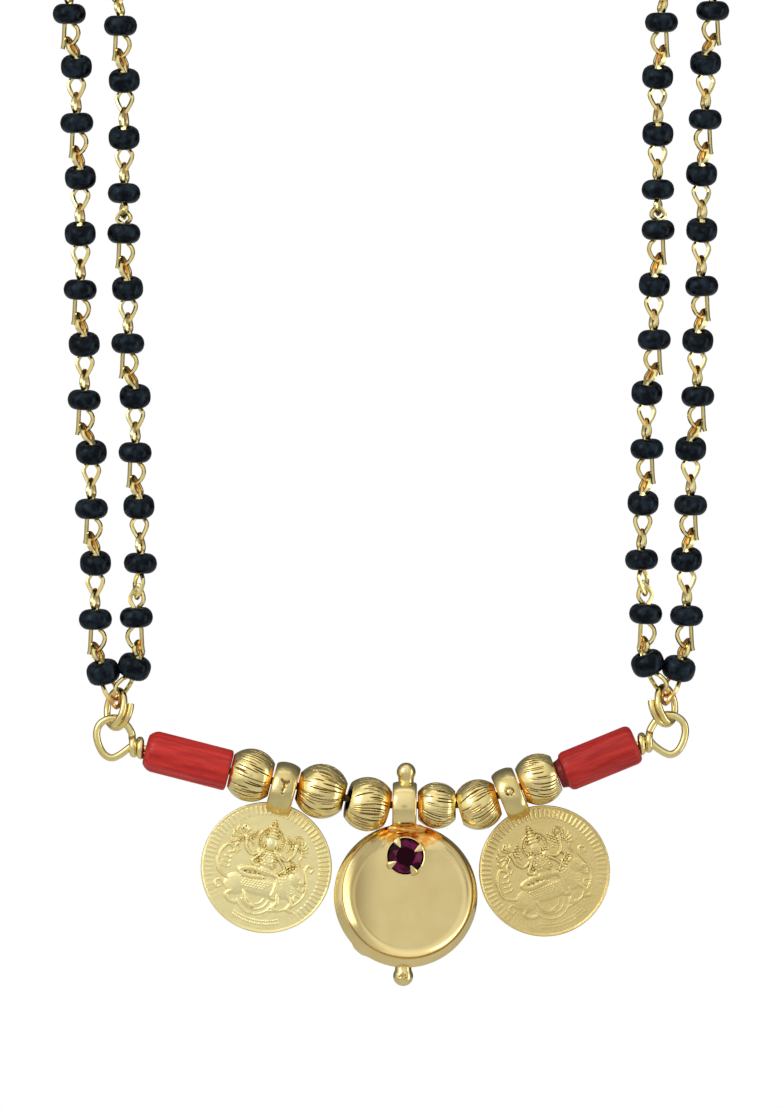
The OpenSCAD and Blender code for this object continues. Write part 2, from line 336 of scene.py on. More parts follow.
# %% The shape and its faces
class Shape:
    """Points in millimetres, the faces over them, and each point's lie and cut in its own piece."""

    def __init__(self, points, faces, lie=None, cut=None):
        self.points = np.asarray(points, float)
        self.faces = faces
        self.lie = self.points.copy() if lie is None else lie
        self.cut = np.zeros(len(self.points)) if cut is None else cut

    def moved(self, points):
        return Shape(points, self.faces, self.lie, self.cut)

    def placed(self, matrix):
        m = np.array(matrix)
        return self.moved(self.points @ m[:3, :3].T + m[:3, 3])

    def lying(self, shift):
        return Shape(self.points, self.faces, self.lie + shift, self.cut)


def grid_faces(rows, columns, wrap_rows=False, wrap_columns=True):
    """Four-sided faces over rows of points. A wrapped side joins its last row or column to its first."""
    i = np.arange(rows if wrap_rows else rows - 1)[:, None]
    j = np.arange(columns if wrap_columns else columns - 1)[None, :]
    below, across = (i + 1) % rows, (j + 1) % columns
    corners = [i * columns + j, i * columns + across, below * columns + across, below * columns + j]
    return np.stack(np.broadcast_arrays(*corners), -1).reshape(-1, 4).tolist()


def end_faces(rows, columns):
    """One flat face over the first row and one over the last."""
    return [list(range(columns))[::-1], list(range((rows - 1) * columns, rows * columns))]


print("faces of 3 rows of 4 points, joined round:", len(grid_faces(3, 4)))

# %% [markdown]
# Nearly every piece is turned on a lathe or bent from wire, so two makers do most of the work.
# The first is `turned`, which spins an outline about X. A relief may change the radius from point
# to point: further on it cuts the beads' lines and punches the bails' dents.


# %% Turning
def turned(outline, steps, relief=None, hollow=True):
    """Turns (radius, along) points about X. Angle 0 faces the back. A hollow outline is a closed loop.
    relief gives what is added to the radius, and the cut."""
    radius, along = np.asarray(outline, float).T[:, :, None] * np.ones(steps)
    angle = TURN * np.arange(steps) / steps + 0 * radius
    rise, cut = relief(angle, along, radius) if relief else (0, 0 * radius)
    radius = radius + rise
    points = np.stack([along, radius * np.cos(angle), radius * np.sin(angle)], -1).reshape(-1, 3)
    faces = grid_faces(len(outline), steps, wrap_rows=hollow)
    return Shape(points, faces if hollow else faces + end_faces(len(outline), steps), cut=cut.ravel())


print("points of a turned square:", len(turned([(1, 0), (2, 0), (2, 1), (1, 1)], 24).points))

# %% [markdown]
# The second is `wire`, which sweeps a round section along a path. A few points give the path, and
# a smooth curve goes through all of them. The section must not twist on its way, so at each point
# its side is taken over from the point before and made square to the way ahead.


# %% Curves and wire
def smooth(points, per_span=6, closed=False):
    """An even curve through the points (Catmull-Rom)."""
    p = np.asarray(points, float)
    if closed:
        p = np.vstack([p[-1], p, p[0], p[1]])
    else:
        p = np.vstack([2 * p[0] - p[1], p, 2 * p[-1] - p[-2]])
    t = np.arange(per_span)[:, None] / per_span
    spans = []
    for a, b, c, d in zip(p, p[1:], p[2:], p[3:]):
        line = 2 * b + (c - a) * t
        spans.append(0.5 * (line + (2 * a - 5 * b + 4 * c - d) * t**2 + (3 * b - a - 3 * c + d) * t**3))
    return np.vstack(spans if closed else spans + [p[-2:-1]])


def unit(v):
    return v / np.linalg.norm(v, axis=-1, keepdims=True)


def carried(path, closed, first):
    """The way ahead at each point, and a side that is carried along without twist."""
    path = np.asarray(path, float)
    ahead = unit(np.roll(path, -1, 0) - np.roll(path, 1, 0) if closed else np.gradient(path, axis=0))
    side, sides = np.asarray(first, float), []
    for way in ahead:
        side = unit(side - side.dot(way) * way)
        sides.append(side)
    return ahead, np.array(sides)


def wire(path, radius, sides=8, closed=False, flat=1.0, first=None):
    """A wire of that radius, one number or one a point. flat is its thickness over its width."""
    if first is None:
        first = np.eye(3)[np.argmin(np.abs(unit(path[1] - path[0])))]
    ahead, side = carried(path, closed, first)
    up = np.cross(ahead, side)
    a = TURN * np.arange(sides) / sides
    r = np.broadcast_to(np.asarray(radius, float), len(path))[:, None, None]
    ring = np.cos(a)[:, None] * side[:, None] + flat * np.sin(a)[:, None] * up[:, None]
    points = (np.asarray(path)[:, None] + r * ring).reshape(-1, 3)
    faces = grid_faces(len(path), sides, wrap_rows=closed)
    return Shape(points, faces if closed else faces + end_faces(len(path), sides))


print("points of a curve through three:", len(smooth([(0, 0, 0), (1, 1, 0), (2, 0, 0)])))

# %% [markdown]
# ## From shapes to a piece
#
# A piece of the model is one mesh object. It moves with its body, and the packed nodes that it
# stands for are hidden. Faces are turned outwards here, once and for all, and edges sharper than a
# given angle stay crisp while the rest is shaded smooth.


# %% The piece maker
def joined_mesh(name, groups):
    """One mesh in metres from {finish: [shapes]}, with each point's lie and cut."""
    mesh = bpy.data.meshes.new(name)
    shapes, faces, finish_of, start = [], [], [], 0
    for index, (finish, its_shapes) in enumerate(groups.items()):
        mesh.materials.append(finish.material)
        shapes += its_shapes
        for shape in its_shapes:
            faces += [[start + corner for corner in face] for face in shape.faces]
            finish_of += [index] * len(shape.faces)
            start += len(shape.points)
    mesh.from_pydata(np.vstack([s.points for s in shapes]) * MM, [], faces)
    mesh.polygons.foreach_set("material_index", finish_of)
    lie, cut = np.vstack([s.lie for s in shapes]), np.concatenate([s.cut for s in shapes])
    mesh.attributes.new("lie", "FLOAT_VECTOR", "POINT").data.foreach_set("vector", lie.ravel())
    mesh.attributes.new("cut", "FLOAT", "POINT").data.foreach_set("value", cut)
    return mesh


def turn_faces_out(mesh):
    work = bmesh.new()
    work.from_mesh(mesh)
    bmesh.ops.recalc_face_normals(work, faces=work.faces)
    work.to_mesh(mesh)
    work.free()


def make_piece(name, groups, body, nodes, sharp=35, tones=None):
    """One object from {finish: [shapes]}. tones, if given, has a number for each face."""
    mesh = joined_mesh(name, groups)
    if tones is not None:
        mesh.attributes.new("tone", "FLOAT", "FACE").data.foreach_set("value", tones)
    turn_faces_out(mesh)
    mesh.polygons.foreach_set("use_smooth", [True] * len(mesh.polygons))
    mesh.set_sharp_from_angle(angle=math.radians(sharp))
    piece = bpy.data.objects.new(name, mesh)
    scene.collection.objects.link(piece)
    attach(piece, body)
    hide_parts(*nodes)
    mesh.calc_loop_triangles()
    print(f"{name}: {len(mesh.loop_triangles)} triangles")


print("pieces will be joined in units of", MM, "m")

# %% [markdown]
# ## The bar's course
#
# The bar is a wire that sags in the middle. The same few points as in the packed model give its
# height anywhere, and its slope turns each bead and bail that sits on it.

# %% Places on the bar
BAR = [(-26, 6), (-14.1, 2.95), (-6.85, 1.4), (-2.2, 0.1), (4.5, 0), (8.6, 0.2), (14.8, 2.6), (26, 6.5)]
SLOPE_REACH = 1.5


def bar_height(x):
    return np.interp(x, *zip(*BAR))


def on_bar(x, down=0.0, lean=0.0):
    """A place on the bar whose X runs along the wire and whose Z points up and square to it. A piece
    with a wide hole can sit lower on the wire, and lean by some degrees."""
    tilt = math.atan2(bar_height(x + SLOPE_REACH) - bar_height(x - SLOPE_REACH), 2 * SLOPE_REACH)
    level = at(x, FRONT, BAR_Z + bar_height(x)) @ Matrix.Rotation(-tilt, 4, "Y")
    return level @ at(0, 0, -down) @ spun(lean, "Y")


print("height of the bar at its left end:", bar_height(-26))

# %% [markdown]
# ## Black beads and their links
#
# Each bead is threaded on its own short wire, and both ends of the wire are bent into eyes that
# hook into the next bead's eyes. Seen from the front, the eyes repeat in two ways. Under a bead
# that lies level, the eye shows a straight leg with a cut end and a thin hook, and the next eye
# leans into it. Under a bead that tips forward, the eye is a drop seen face on, and the next one
# stands edge on in it. A bead's letter says which: L lies level, M too but with its link the other
# way round, N has a narrow link, S a short one, T tips, and E is the last bead at the front.

# %% Beads at the front
# Letter: width, length and how round the corner is
LEVEL = (3.3, 2.02, 0.92)
BEAD_SIZES = {"L": LEVEL, "M": LEVEL, "N": LEVEL, "T": (3.1, 2.1, 0.8), "S": (3.25, 2.0, 0.92),
              "E": (3.3, 2.26, 0.86)}
BEAD_TIP = {"L": 4, "M": 4, "N": 4, "T": 22, "S": 0, "E": 14}
LINK_WIRE = 0.225
BEAD_HOLE, HOLE_FLARE, FLARE_DEEP = 0.5, 0.12, 0.3
# How far in the flat of an end lies, how much the middle bulges, and where the corner stops short
END_IN, BULGE, CORNER_STOP = 0.02, 0.02, 0.12
GLASS_STEPS, CORNER_POINTS = 24, 6

# Letter, place across and height above the middle of the bar, from the bar upwards
OUTER_FRONT = [
    ("E", -28.78, 13.34), ("L", -29.56, 18.62), ("T", -29.55, 24.26), ("L", -29.96, 29.68),
    ("T", -29.97, 35.32), ("L", -30.68, 40.56), ("T", -30.68, 46.13), ("L", -31.08, 51.58),
    ("T", -31.08, 57.19), ("T", -31.06, 62.80), ("L", -31.42, 68.26), ("T", -31.46, 73.89),
    ("L", -32.17, 79.17)]
INNER_FRONT = [
    ("E", -25.67, 13.87), ("M", -25.47, 18.82), ("N", -25.06, 24.23), ("T", -25.21, 29.91),
    ("L", -25.59, 35.30), ("T", -25.59, 40.91), ("L", -26.32, 46.21), ("T", -26.34, 51.72),
    ("L", -26.71, 57.21), ("S", -26.69, 61.23), ("T", -26.69, 66.80), ("T", -26.67, 72.51),
    ("L", -27.05, 77.98)]
# How much higher the right side hangs, from where down, and over what height that comes in
RIGHT_RISE, FRONT_TOP, RISE_OVER = 0.36, -98.0, 10
LAST_ROLL = {"outer": -13, "inner": 22}


def glass_bead(letter):
    """A rounded barrel with a hole through it, along Z."""
    width, length, edge = BEAD_SIZES[letter]
    half = length / 2
    corner = [(width / 2 - edge + edge * math.cos(b), half - edge + edge * math.sin(b))
              for b in np.linspace(math.pi / 2, CORNER_STOP, CORNER_POINTS)]
    upper = [(BEAD_HOLE, half - FLARE_DEEP), (BEAD_HOLE + HOLE_FLARE, half - END_IN)] + corner
    outline = upper + [(width / 2 + BULGE, 0)] + [(r, -z) for r, z in reversed(upper)]
    return turned(outline, GLASS_STEPS).placed(spun(90, "Y"))


GLASS_BEADS = {letter: glass_bead(letter) for letter in BEAD_SIZES}
print("bead kinds:", sorted(GLASS_BEADS))

# %% [markdown]
# An eye is drawn as an outline in two numbers: how far sideways and how far out of the bead it
# goes. `in_link` lays such an outline between two beads. It can be swung round the line between
# them, so that one eye faces the viewer and its neighbour stands across it.

# %% Outlines of the eyes
DROP = [(0.2, -0.45), (0.26, 0.0), (0.5, 0.28), (0.76, 0.75), (0.68, 1.25), (0.42, 1.8), (0.16, 2.22)]
DROP_LONG = 2.34
LEG = [(-0.3, -0.45), (-0.46, 0.0), (-0.5, 0.6), (-0.53, 1.3), (-0.58, 2.0), (-0.68, 2.5)]
HOOK = [(0.22, -0.45), (0.42, 0.0), (0.8, 0.4), (0.95, 0.9), (0.84, 1.35), (0.55, 1.8), (0.1, 2.14),
        (-0.22, 2.12), (-0.3, 1.85)]
# An eye's inner side gets painted warm reflection, more and more towards its tip, and only near the
# eye's own plane
PAINTED_WARMTH_GROWS, PAINTED_WARMTH_LATE, PAINTED_WARMTH_BROAD, PAINTED_WARMTH_NEAR = 2.4, 0.1, 1.6, 0.33
# Where the next eye catches a hook: how far down, how far aside, and how far past that
CATCH_DOWN, CATCH_ASIDE, CATCH_PAST = 1.5, 0.16, 0.05


def drop(long, wide=1.0):
    """The outline of a drop-shaped eye of that length."""
    half = [(s * wide, out * long / DROP_LONG if out > 0 else out) for s, out in DROP]
    return half + [(0.0, long)] + [(-s, out) for s, out in reversed(half)]


def in_link(outline, start, end, side, swing=0, thick=1.0, painted_warmth=0.0):
    """An eye that starts at a bead's hole and points at the next bead. Its inner side can get painted
    warm reflection from the eye that it hooks into. Angles are in degrees."""
    ahead = unit(end - start)
    side = unit(side - side.dot(ahead) * ahead)
    deep = np.cross(ahead, side)
    turn = math.radians(swing)
    plane = math.cos(turn) * side + math.sin(turn) * deep
    flat = np.array([start + s * plane + out * ahead for s, out in outline])
    eye = wire(smooth(flat, 3), LINK_WIRE * thick, 7)
    far, off = (eye.points - start) @ ahead, np.abs((eye.points - start) @ plane)
    # Below 0 the cut is painted warm reflection on the eye's inner side
    eye.cut = -painted_warmth * clamp(PAINTED_WARMTH_GROWS * far / far.max() - PAINTED_WARMTH_LATE) * clamp(PAINTED_WARMTH_BROAD - off / PAINTED_WARMTH_NEAR)
    return eye


print("a drop's outline has points:", len(drop(DROP_LONG)))

# %% [markdown]
# Each kind of link is two to four such eyes. Every link function takes the same four things: the
# ends of the two holes, the way down, and a side.


# %% The kinds of link
def level_link(upper, lower, down, side):
    """Under a level bead: a leg and a hook, and the next bead's eye leaning into them."""
    catch = upper + CATCH_DOWN * down - CATCH_ASIDE * side
    gap = np.linalg.norm(catch - lower) + CATCH_PAST
    return [in_link(LEG, upper, upper + down, side, 8), in_link(HOOK, upper, upper + down, side, 12),
            in_link(drop(gap, 1.0), lower, catch, side, 60, 1.2, 0.5),
            in_link(drop(0.9 * gap, 0.5), lower, catch, side, 52, 1.0, 0.9)]


def tipped_link(upper, lower, down, side):
    """Under a tipped bead: a drop seen face on, and the next bead's eye across it."""
    return [in_link(drop(2.3), upper, lower, side, 4), in_link(drop(1.9), lower, upper, side, 71, 1.15, 0.5)]


def short_link(upper, lower, down, side):
    """Two short eyes, both nearly edge on."""
    return [in_link(drop(1.45), upper, lower, side, 70), in_link(drop(1.35), lower, upper, side, -25)]


def turned_link(upper, lower, down, side):
    """The link of a level bead, the other way round."""
    return level_link(upper, lower, down, -side)


def narrow_link(upper, lower, down, side):
    """A drop seen almost edge on, and the next bead's eye almost face on."""
    return [in_link(drop(2.5), upper, lower, side, 56), in_link(drop(2.2), lower, upper, side, -24)]


LINKS = {"L": level_link, "M": turned_link, "N": narrow_link, "T": tipped_link, "S": short_link}
print("link kinds:", sorted(LINKS))

# %% [markdown]
# ## The four strings
#
# Above the picture's edge each string runs on round the neck to the clasp. Its course is the
# packed model's own route, and beads are dealt out along it at the pitch that the front shows.

# %% Courses round the neck
BEAD_PITCH = 5.56
NECK = {
    "outer": [(-33.6, -111.5, -97), (-37, -109, -83), (-41.5, -105, -70), (-46, -98.5, -58.5),
              (-50.5, -90, -47.5), (-54.5, -79, -37), (-57.5, -66, -27), (-58.5, -52, -18.5),
              (-56.5, -38.5, -11.5), (-51, -26.5, -6.5), (-42.5, -16, -3.2), (-31.5, -8, -1.2),
              (-20.5, -2.8, -0.3), (-12, 1.6, 0)],
    "inner": [(-28.6, -111, -97), (-32, -108, -83.5), (-36.5, -103.5, -71), (-41, -96.5, -59.5),
              (-45.5, -87.5, -48.5), (-49.5, -76.5, -37.5), (-52.5, -64, -27), (-53.5, -51, -18),
              (-51.5, -39, -10.5), (-46.5, -28.5, -5.5), (-38.5, -19, -2.2), (-28.5, -11.8, -0.5),
              (-19, -6.4, 0.2), (-12, -1.8, 0)]}
FRONT_BEADS = {"outer": OUTER_FRONT, "inner": INNER_FRONT}
CLASP_HOOK = {"outer": (-8.35, 0.5, 0), "inner": (-8.35, -0.5, 0)}
# Beads behind the front take these letters in turn
BEHIND = "TL"


def dealt(course, pitch):
    """Points an even pitch apart along a course, with the pitch eased so that they end where it ends."""
    fine = smooth(course, 40)
    way = np.concatenate([[0], np.cumsum(np.linalg.norm(np.diff(fine, axis=0), axis=1))])
    stops = np.linspace(0, way[-1], round(way[-1] / pitch) + 1)
    return np.stack([np.interp(stops, way, fine[:, k]) for k in range(3)], -1)


def string_course(strand):
    """Every bead of a left string, as letters and centres from the bar to the clasp."""
    letters = [row[0] for row in FRONT_BEADS[strand]]
    centres = [(x, FRONT, BAR_Z + high) for _, x, high in FRONT_BEADS[strand]]
    behind = dealt([centres[-1]] + NECK[strand], BEAD_PITCH)[1:]
    letters += [BEHIND[k % 2] for k in range(len(behind))]
    return letters, np.vstack([centres, behind])


for strand in FRONT_BEADS:
    count = len(string_course(strand)[0])
    print(f"{strand} strings: {count} beads each")

# %% [markdown]
# At the front the two last beads of a side share one ring. Their eyes are longer and pass over
# the ring's top, so these two are listed as points about the middle of the ring.

# %% Eyes on the ring
RING_X, RING_HIGH = -27.45, 9.65
LAST_EYES = {
    "outer": [(-1.15, -0.1, 3.35), (-1.45, -0.35, 2.75), (-1.02, -1.2, 1.6), (-0.4, -1.5, 0.72),
              (0.0, -1.2, 0.2), (0.35, -0.3, 0.5), (0.3, 0.5, 1.3), (-0.1, 0.4, 2.3),
              (-0.5, 0.1, 2.8), (-0.95, 0.0, 3.3)],
    "inner": [(1.45, -0.2, 3.75), (1.18, -0.4, 3.3), (0.62, -0.9, 3.0), (0.0, -1.25, 2.35),
              (-0.08, -1.3, 1.7), (-0.35, -0.9, 1.1), (-0.05, 0.2, 0.95), (0.6, 0.75, 1.45),
              (1.15, 0.6, 2.2), (1.5, 0.2, 2.8), (1.62, 0.0, 3.5)]}
# Where these eyes get painted warm reflection from the ring: how much, how far above its middle
# that starts, and over what height
RING_PAINTED_WARMTH, RING_WARMTH_FROM, RING_WARMTH_OVER = 0.35, 1.9, 0.8
# A bead rolls by up to so many degrees, and its pattern lies up to so many millimetres elsewhere
BEAD_ROLL, LIE_FAR = 3, 50
HOOK_PAST = 0.3
print("eyes bent by hand:", len(LAST_EYES))

# %% [markdown]
# A left string is made in one walk from the bar to the clasp: each bead is set on its course with
# a small roll of its own, and then each pair of neighbours gets its link. The right strings are
# the left ones mirrored, because the photograph shows them alike but for a little height.


# %% The beads and links of a string
def hole_ends(centre, axis, length):
    return centre + axis * length / 2, centre - axis * length / 2


def left_string(strand):
    """Shapes of a left string: {finish: [shapes]}."""
    letters, centres = string_course(strand)
    ways, sides = carried(centres, False, (1, 0, 0))
    glass, links, ends, ups = [], [], [], []
    for k, (letter, centre) in enumerate(zip(letters, centres)):
        at_front = k < len(FRONT_BEADS[strand])
        up = np.array((0, 0, 1.0)) if at_front else ways[k]
        side = unit(sides[k] - sides[k].dot(up) * up)
        roll = LAST_ROLL[strand] if letter == "E" else rng.uniform(-BEAD_ROLL, BEAD_ROLL)
        stance = Matrix(np.column_stack([side, np.cross(up, side), up]).tolist()).to_4x4()
        stance = at(*centre) @ stance @ spun(roll, "Y") @ spun(BEAD_TIP[letter], "X")
        glass.append(GLASS_BEADS[letter].lying(rng.uniform(-LIE_FAR, LIE_FAR, 3)).placed(stance))
        axis = np.array(stance.to_3x3() @ Vector((0, 0, 1)))
        ends.append(hole_ends(centre, axis, BEAD_SIZES[letter][1]))
        ups.append(up)
    for k in range(1, len(letters)):
        links += LINKS[letters[k]](ends[k][1], ends[k - 1][0], -ups[k], sides[k])
    hook = np.array(CLASP_HOOK[strand])
    gap = np.linalg.norm(hook - ends[-1][0])
    links.append(in_link(drop(gap + HOOK_PAST), ends[-1][0], hook, sides[-1], 90))
    ring = np.array([RING_X, FRONT, BAR_Z + RING_HIGH])
    links.append(wire(smooth(np.array(LAST_EYES[strand]) + ring, 5), LINK_WIRE, 7))
    # Painted warm reflection where the eyes pass over the ring
    links[-1].cut = -RING_PAINTED_WARMTH * clamp((ring[2] + RING_WARMTH_FROM - links[-1].points[:, 2]) / RING_WARMTH_OVER)
    return {black_glass: glass, wire_gold: links}


def mirrored(shape):
    """The same shape on the right, where the front hangs a little higher."""
    rise = RIGHT_RISE * clamp((FRONT_TOP - shape.points[:, 2]) / RISE_OVER)
    points = shape.points * (-1, 1, 1)
    points[:, 2] += rise
    return shape.moved(points)


for strand in FRONT_BEADS:
    made = {"left": left_string(strand)}
    made["right"] = {finish: [mirrored(s) for s in shapes] for finish, shapes in made["left"].items()}
    for name, groups in made.items():
        node = f"string_{name}_{strand}"
        make_piece(f"beads_{name}_{strand}", groups, "necklace", [node])

# %% [markdown]
# ## The bar, its eyes and the rings
#
# The bar is one wire. Past the coral it bends down into a round eye, comes back over the top and
# is wound round itself. The wire's path is written as one list of points: the eye point by point, the
# winding as a helix. Between beads and pendants the wire is painted dark, as painted shade.

# %% The bar's wire
BAR_WIRE = 0.37
# Where the eye's middle lies, on each side how high, and its course: how far inwards and up
EYE_X = 27.75
EYE_HIGH = {-1: 6.78, 1: 7.12}
EYE = [(1.42, -1.14), (0.56, -1.75), (-0.21, -2.02), (-0.97, -1.62), (-1.52, -0.6), (-1.68, 0.5),
       (-1.36, 1.36), (-0.44, 1.92), (0.56, 1.9), (1.3, 1.3), (1.8, 0.5)]
# The winding: where it starts, its pitch, its turns, steps in a turn, and how far off the bar it is
WRAP_OUT, WRAP_PITCH, WRAP_TURNS, TURN_STEPS = 25.98, 0.755, 1.55, 14
WRAP_OFF = 0.75
# Places of the bar's own points: from coral to eye, and between the corals
CORE_X = (16.0, 22.0, 25.2, 25.85)
MIDDLE_REACH, MIDDLE_POINTS = 14, 15
# The wire is painted dark out to here, as painted shade
PAINTED_SHADE_OUT = 17


def bar_end(side):
    """From the coral out to the eye, round it and over the top into the winding. side is -1 or 1."""
    eye = [(side * (EYE_X - x), FRONT, BAR_Z + EYE_HIGH[side] + z) for x, z in EYE]
    winding = []
    for turns in np.arange(0, WRAP_TURNS, 1 / TURN_STEPS):
        a = TURN * (0.25 - turns)
        place = on_bar(side * (WRAP_OUT - WRAP_PITCH * turns))
        winding.append(tuple(place @ Vector((0, -WRAP_OFF * math.cos(a), WRAP_OFF * math.sin(a)))))
    core = [tuple(on_bar(side * x).translation) for x in CORE_X]
    return core + eye + winding


middle = [tuple(on_bar(x).translation) for x in np.linspace(-MIDDLE_REACH, MIDDLE_REACH, MIDDLE_POINTS)]
bar = wire(smooth(bar_end(-1)[::-1] + middle + bar_end(1), 4), BAR_WIRE, 12)
# Painted shade: the wire is dark between the beads and pendants
bar.cut = 1.0 * (np.abs(bar.points[:, 0]) < PAINTED_SHADE_OUT)
make_piece("bar", {wire_gold: [bar]}, "necklace", ["bar_wire"])

# %% [markdown]
# The ring that joins eye and strings is a coil of a turn and a quarter, so on one side its two
# ends lie beside each other. It is turned out of the picture's plane and leans a little.

# %% The two rings
RING_WIRE, RING_RADIUS = 0.35, 1.85
# How high it hangs on each side, and how far it is turned and leans, in degrees
RING_RISE = {-1: 9.65, 1: 10.0}
RING_TURN, RING_LEAN = 57, 13
# Where the coil starts and how far it runs on, in degrees, and in how many steps
RING_FROM, RING_SWEEP, RING_STEPS = 26, 445, 72
# How far apart its turns lie, and how many of that pitch its two ends lie off its middle
RING_PITCH, RING_SPREAD = 0.78, 0.62


def ring(side):
    """A coil of a turn and a quarter that stands across the front and leans outwards at its foot."""
    angles = np.radians(RING_FROM - np.linspace(0, RING_SWEEP, RING_STEPS))
    back = np.linspace(RING_SPREAD, -RING_SPREAD, RING_STEPS) * RING_PITCH
    coil = np.stack([RING_RADIUS * np.cos(angles), back, RING_RADIUS * np.sin(angles)], -1)
    stance = spun(RING_LEAN, "Y") @ spun(-RING_TURN, "Z")
    place = at(-side * RING_X, FRONT, BAR_Z + RING_RISE[side])
    return wire(coil, RING_WIRE, 12).placed(place @ Matrix.Diagonal((-side, 1, 1, 1)) @ stance)


for name, side in SIDES.items():
    make_piece(f"ring_{name}", {wire_gold: [ring(side)]}, "necklace", [f"jump_ring_{name}"])

# %% [markdown]
# ## Coral tubes
#
# Coral tubes are cut from branches, ground on flat stones and drilled, so they are round only
# roughly: broad flats run along them, and the ends are worn soft.

# %% Make the coral
# Place across, lean, length, diameter, number of flats, and how much darker it is
CORALS = {"left": (-20.34, 0, 8.66, 4.1, 9, 0.0), "right": (20.61, -3, 8.48, 4.0, 7, 0.2)}
CORAL_HOLE = 0.6
# How deep the flats and the saw's fine grooves go, and how many grooves there are
FLAT_DEEP, GROOVE_DEEP, SAW_GROOVES = 0.11, 0.02, 31
# How unevenly the flats stand round the tube, how the grooves lean and how narrow they are, and
# about the flats' mean, so that the tube's diameter stays as it is
FLAT_SWAY, GROOVE_LEAN, GROOVE_NARROW, FLAT_MEAN = 0.25, 0.35, 8, 0.6
CORAL_ROWS, CORAL_STEPS = 18, 144
# An end that is this much smaller than the tube is in its shade, fully so a little further in
SHADE_FROM, SHADE_OVER, SHADE_MOST = 0.3, 0.2, 0.6
# How much smaller the radius is, and how far in from the end
WORN_END = [(-0.82, 0.0), (-0.56, 0.05), (-0.3, 0.3), (-0.1, 0.6), (0.0, 0.95)]
SAWN_END = [(-0.34, 0.0), (-0.12, 0.06), (-0.02, 0.18), (0.0, 0.35)]
NECKED_END = [(-0.78, 0.0), (-0.62, 0.06), (-0.54, 0.4), (-0.46, 0.62), (-0.14, 0.82), (0.0, 1.15)]
SOFT_END = [(-0.6, 0.0), (-0.3, 0.08), (-0.09, 0.3), (0.0, 0.6)]
CORAL_ENDS = {"left": (WORN_END, SAWN_END), "right": (NECKED_END, SOFT_END)}


def coral_tube(name):
    """A tube about X with broad flats and two ends that are worn each in its own way."""
    x, lean, long, wide, flats, dark = CORALS[name]
    half, radius = long / 2, wide / 2
    left_end, right_end = CORAL_ENDS[name]
    outline = [(radius + less, far - half) for less, far in left_end]
    middle = np.linspace(left_end[-1][1] - half, half - right_end[-1][1], CORAL_ROWS)
    outline += [(radius, along) for along in middle[1:-1]]
    outline += [(radius + less, half - far) for less, far in reversed(right_end)]
    outline += [(CORAL_HOLE, half - 0.02), (CORAL_HOLE, 0.02 - half)]
    skew = rng.uniform(0, TURN, 3)

    def ground(angle, along, radius_here):
        flat = np.abs(np.sin(angle * flats / 2 + skew[0] + FLAT_SWAY * np.sin(2 * angle + skew[1])))
        groove = np.sin(SAW_GROOVES * angle + GROOVE_LEAN * along + skew[2]) ** GROOVE_NARROW
        outer = clamp(radius_here / radius) ** 4
        shade = clamp((radius - SHADE_FROM - radius_here) / SHADE_OVER, SHADE_MOST)
        return (FLAT_DEEP * (flat - FLAT_MEAN) - GROOVE_DEEP * groove) * outer, shade + dark

    return turned(outline, CORAL_STEPS, ground).placed(on_bar(x, lean=lean))


for name in SIDES:
    make_piece(f"coral_{name}", {coral: [coral_tube(name)]}, "necklace", [f"coral_tube_{name}"])

# %% [markdown]
# ## Engraved gold beads
#
# Each bead is pressed from thin gold and then cut by hand with a graver. The bead is turned as a
# barrel and the lines are real grooves. A line starts and stops where the hand did, leans with
# its neighbours, and no two are quite the same. Patches are left plain, so that they flash.

# %% Measures of the gold beads
# Place across, how far it sits down, length, diameter, lean, turn to the front, lines, their slant
GOLD_BEADS = [
    (-14.02, -0.1, 4.2, 5.34, 0, 0, 56, 0.02), (-6.97, 0.0, 4.82, 5.5, 0, 0, 74, 0.03),
    (-2.33, 0.0, 4.06, 5.44, 5, 8, 72, -0.06), (4.57, 0.0, 3.76, 4.66, 0, 0, 56, 0.12),
    (8.72, 0.16, 4.04, 5.06, -3, 0, 58, -0.10), (14.78, -0.04, 3.8, 5.16, 0, 0, 46, 0.10)]
BEAD_BORE, BEAD_MOUTH, BEAD_LIP = 0.95, 1.12, 0.14
# A line's depth, its half width, and how broad its floor is
GROOVE, GROOVE_WIDE, GROOVE_BROAD, BEAD_STEPS = 0.06, 0.05, 1.8, 400
# Over how many half lengths of the bead a line fades in and out. How far from the ends all of them
# stop, over what length, and how deep the bore's funnel is
LINE_FADE, LINE_MARGIN, MARGIN_FADE, FUNNEL = 0.2, 0.12, 0.2, 0.25
# How far a line may stray from its even place, in gaps between lines. Where it begins and how
# long it is, in half lengths of the bead, and how wide, each from least to most
LINE_STRAY, LINE_BEGIN, LINE_LONG, LINE_WIDE = 0.35, (-1.1, 0.1), (0.6, 2.0), (0.6, 1.25)
# How much neighbours lean and bend together, and each line by itself
LEAN_TOGETHER, LEAN_ALONE, BEND_TOGETHER, BEND_ALONE = 0.09, 0.02, 0.16, 0.03
# Next to its ends a bead gets painted warm shade and reflection: how much, how far in it starts,
# and over what length
BEAD_PAINTED_WARMTH, BEAD_WARMTH_IN, BEAD_WARMTH_OVER = 0.45, 0.7, 0.6
print("gold beads:", len(GOLD_BEADS))

# %% [markdown]
# First the lines are drawn, each with a place, a length, a slant, a bend and a width of its own.
# Then the bead is turned, and at every point the deepest line near it sets how deep it lies.


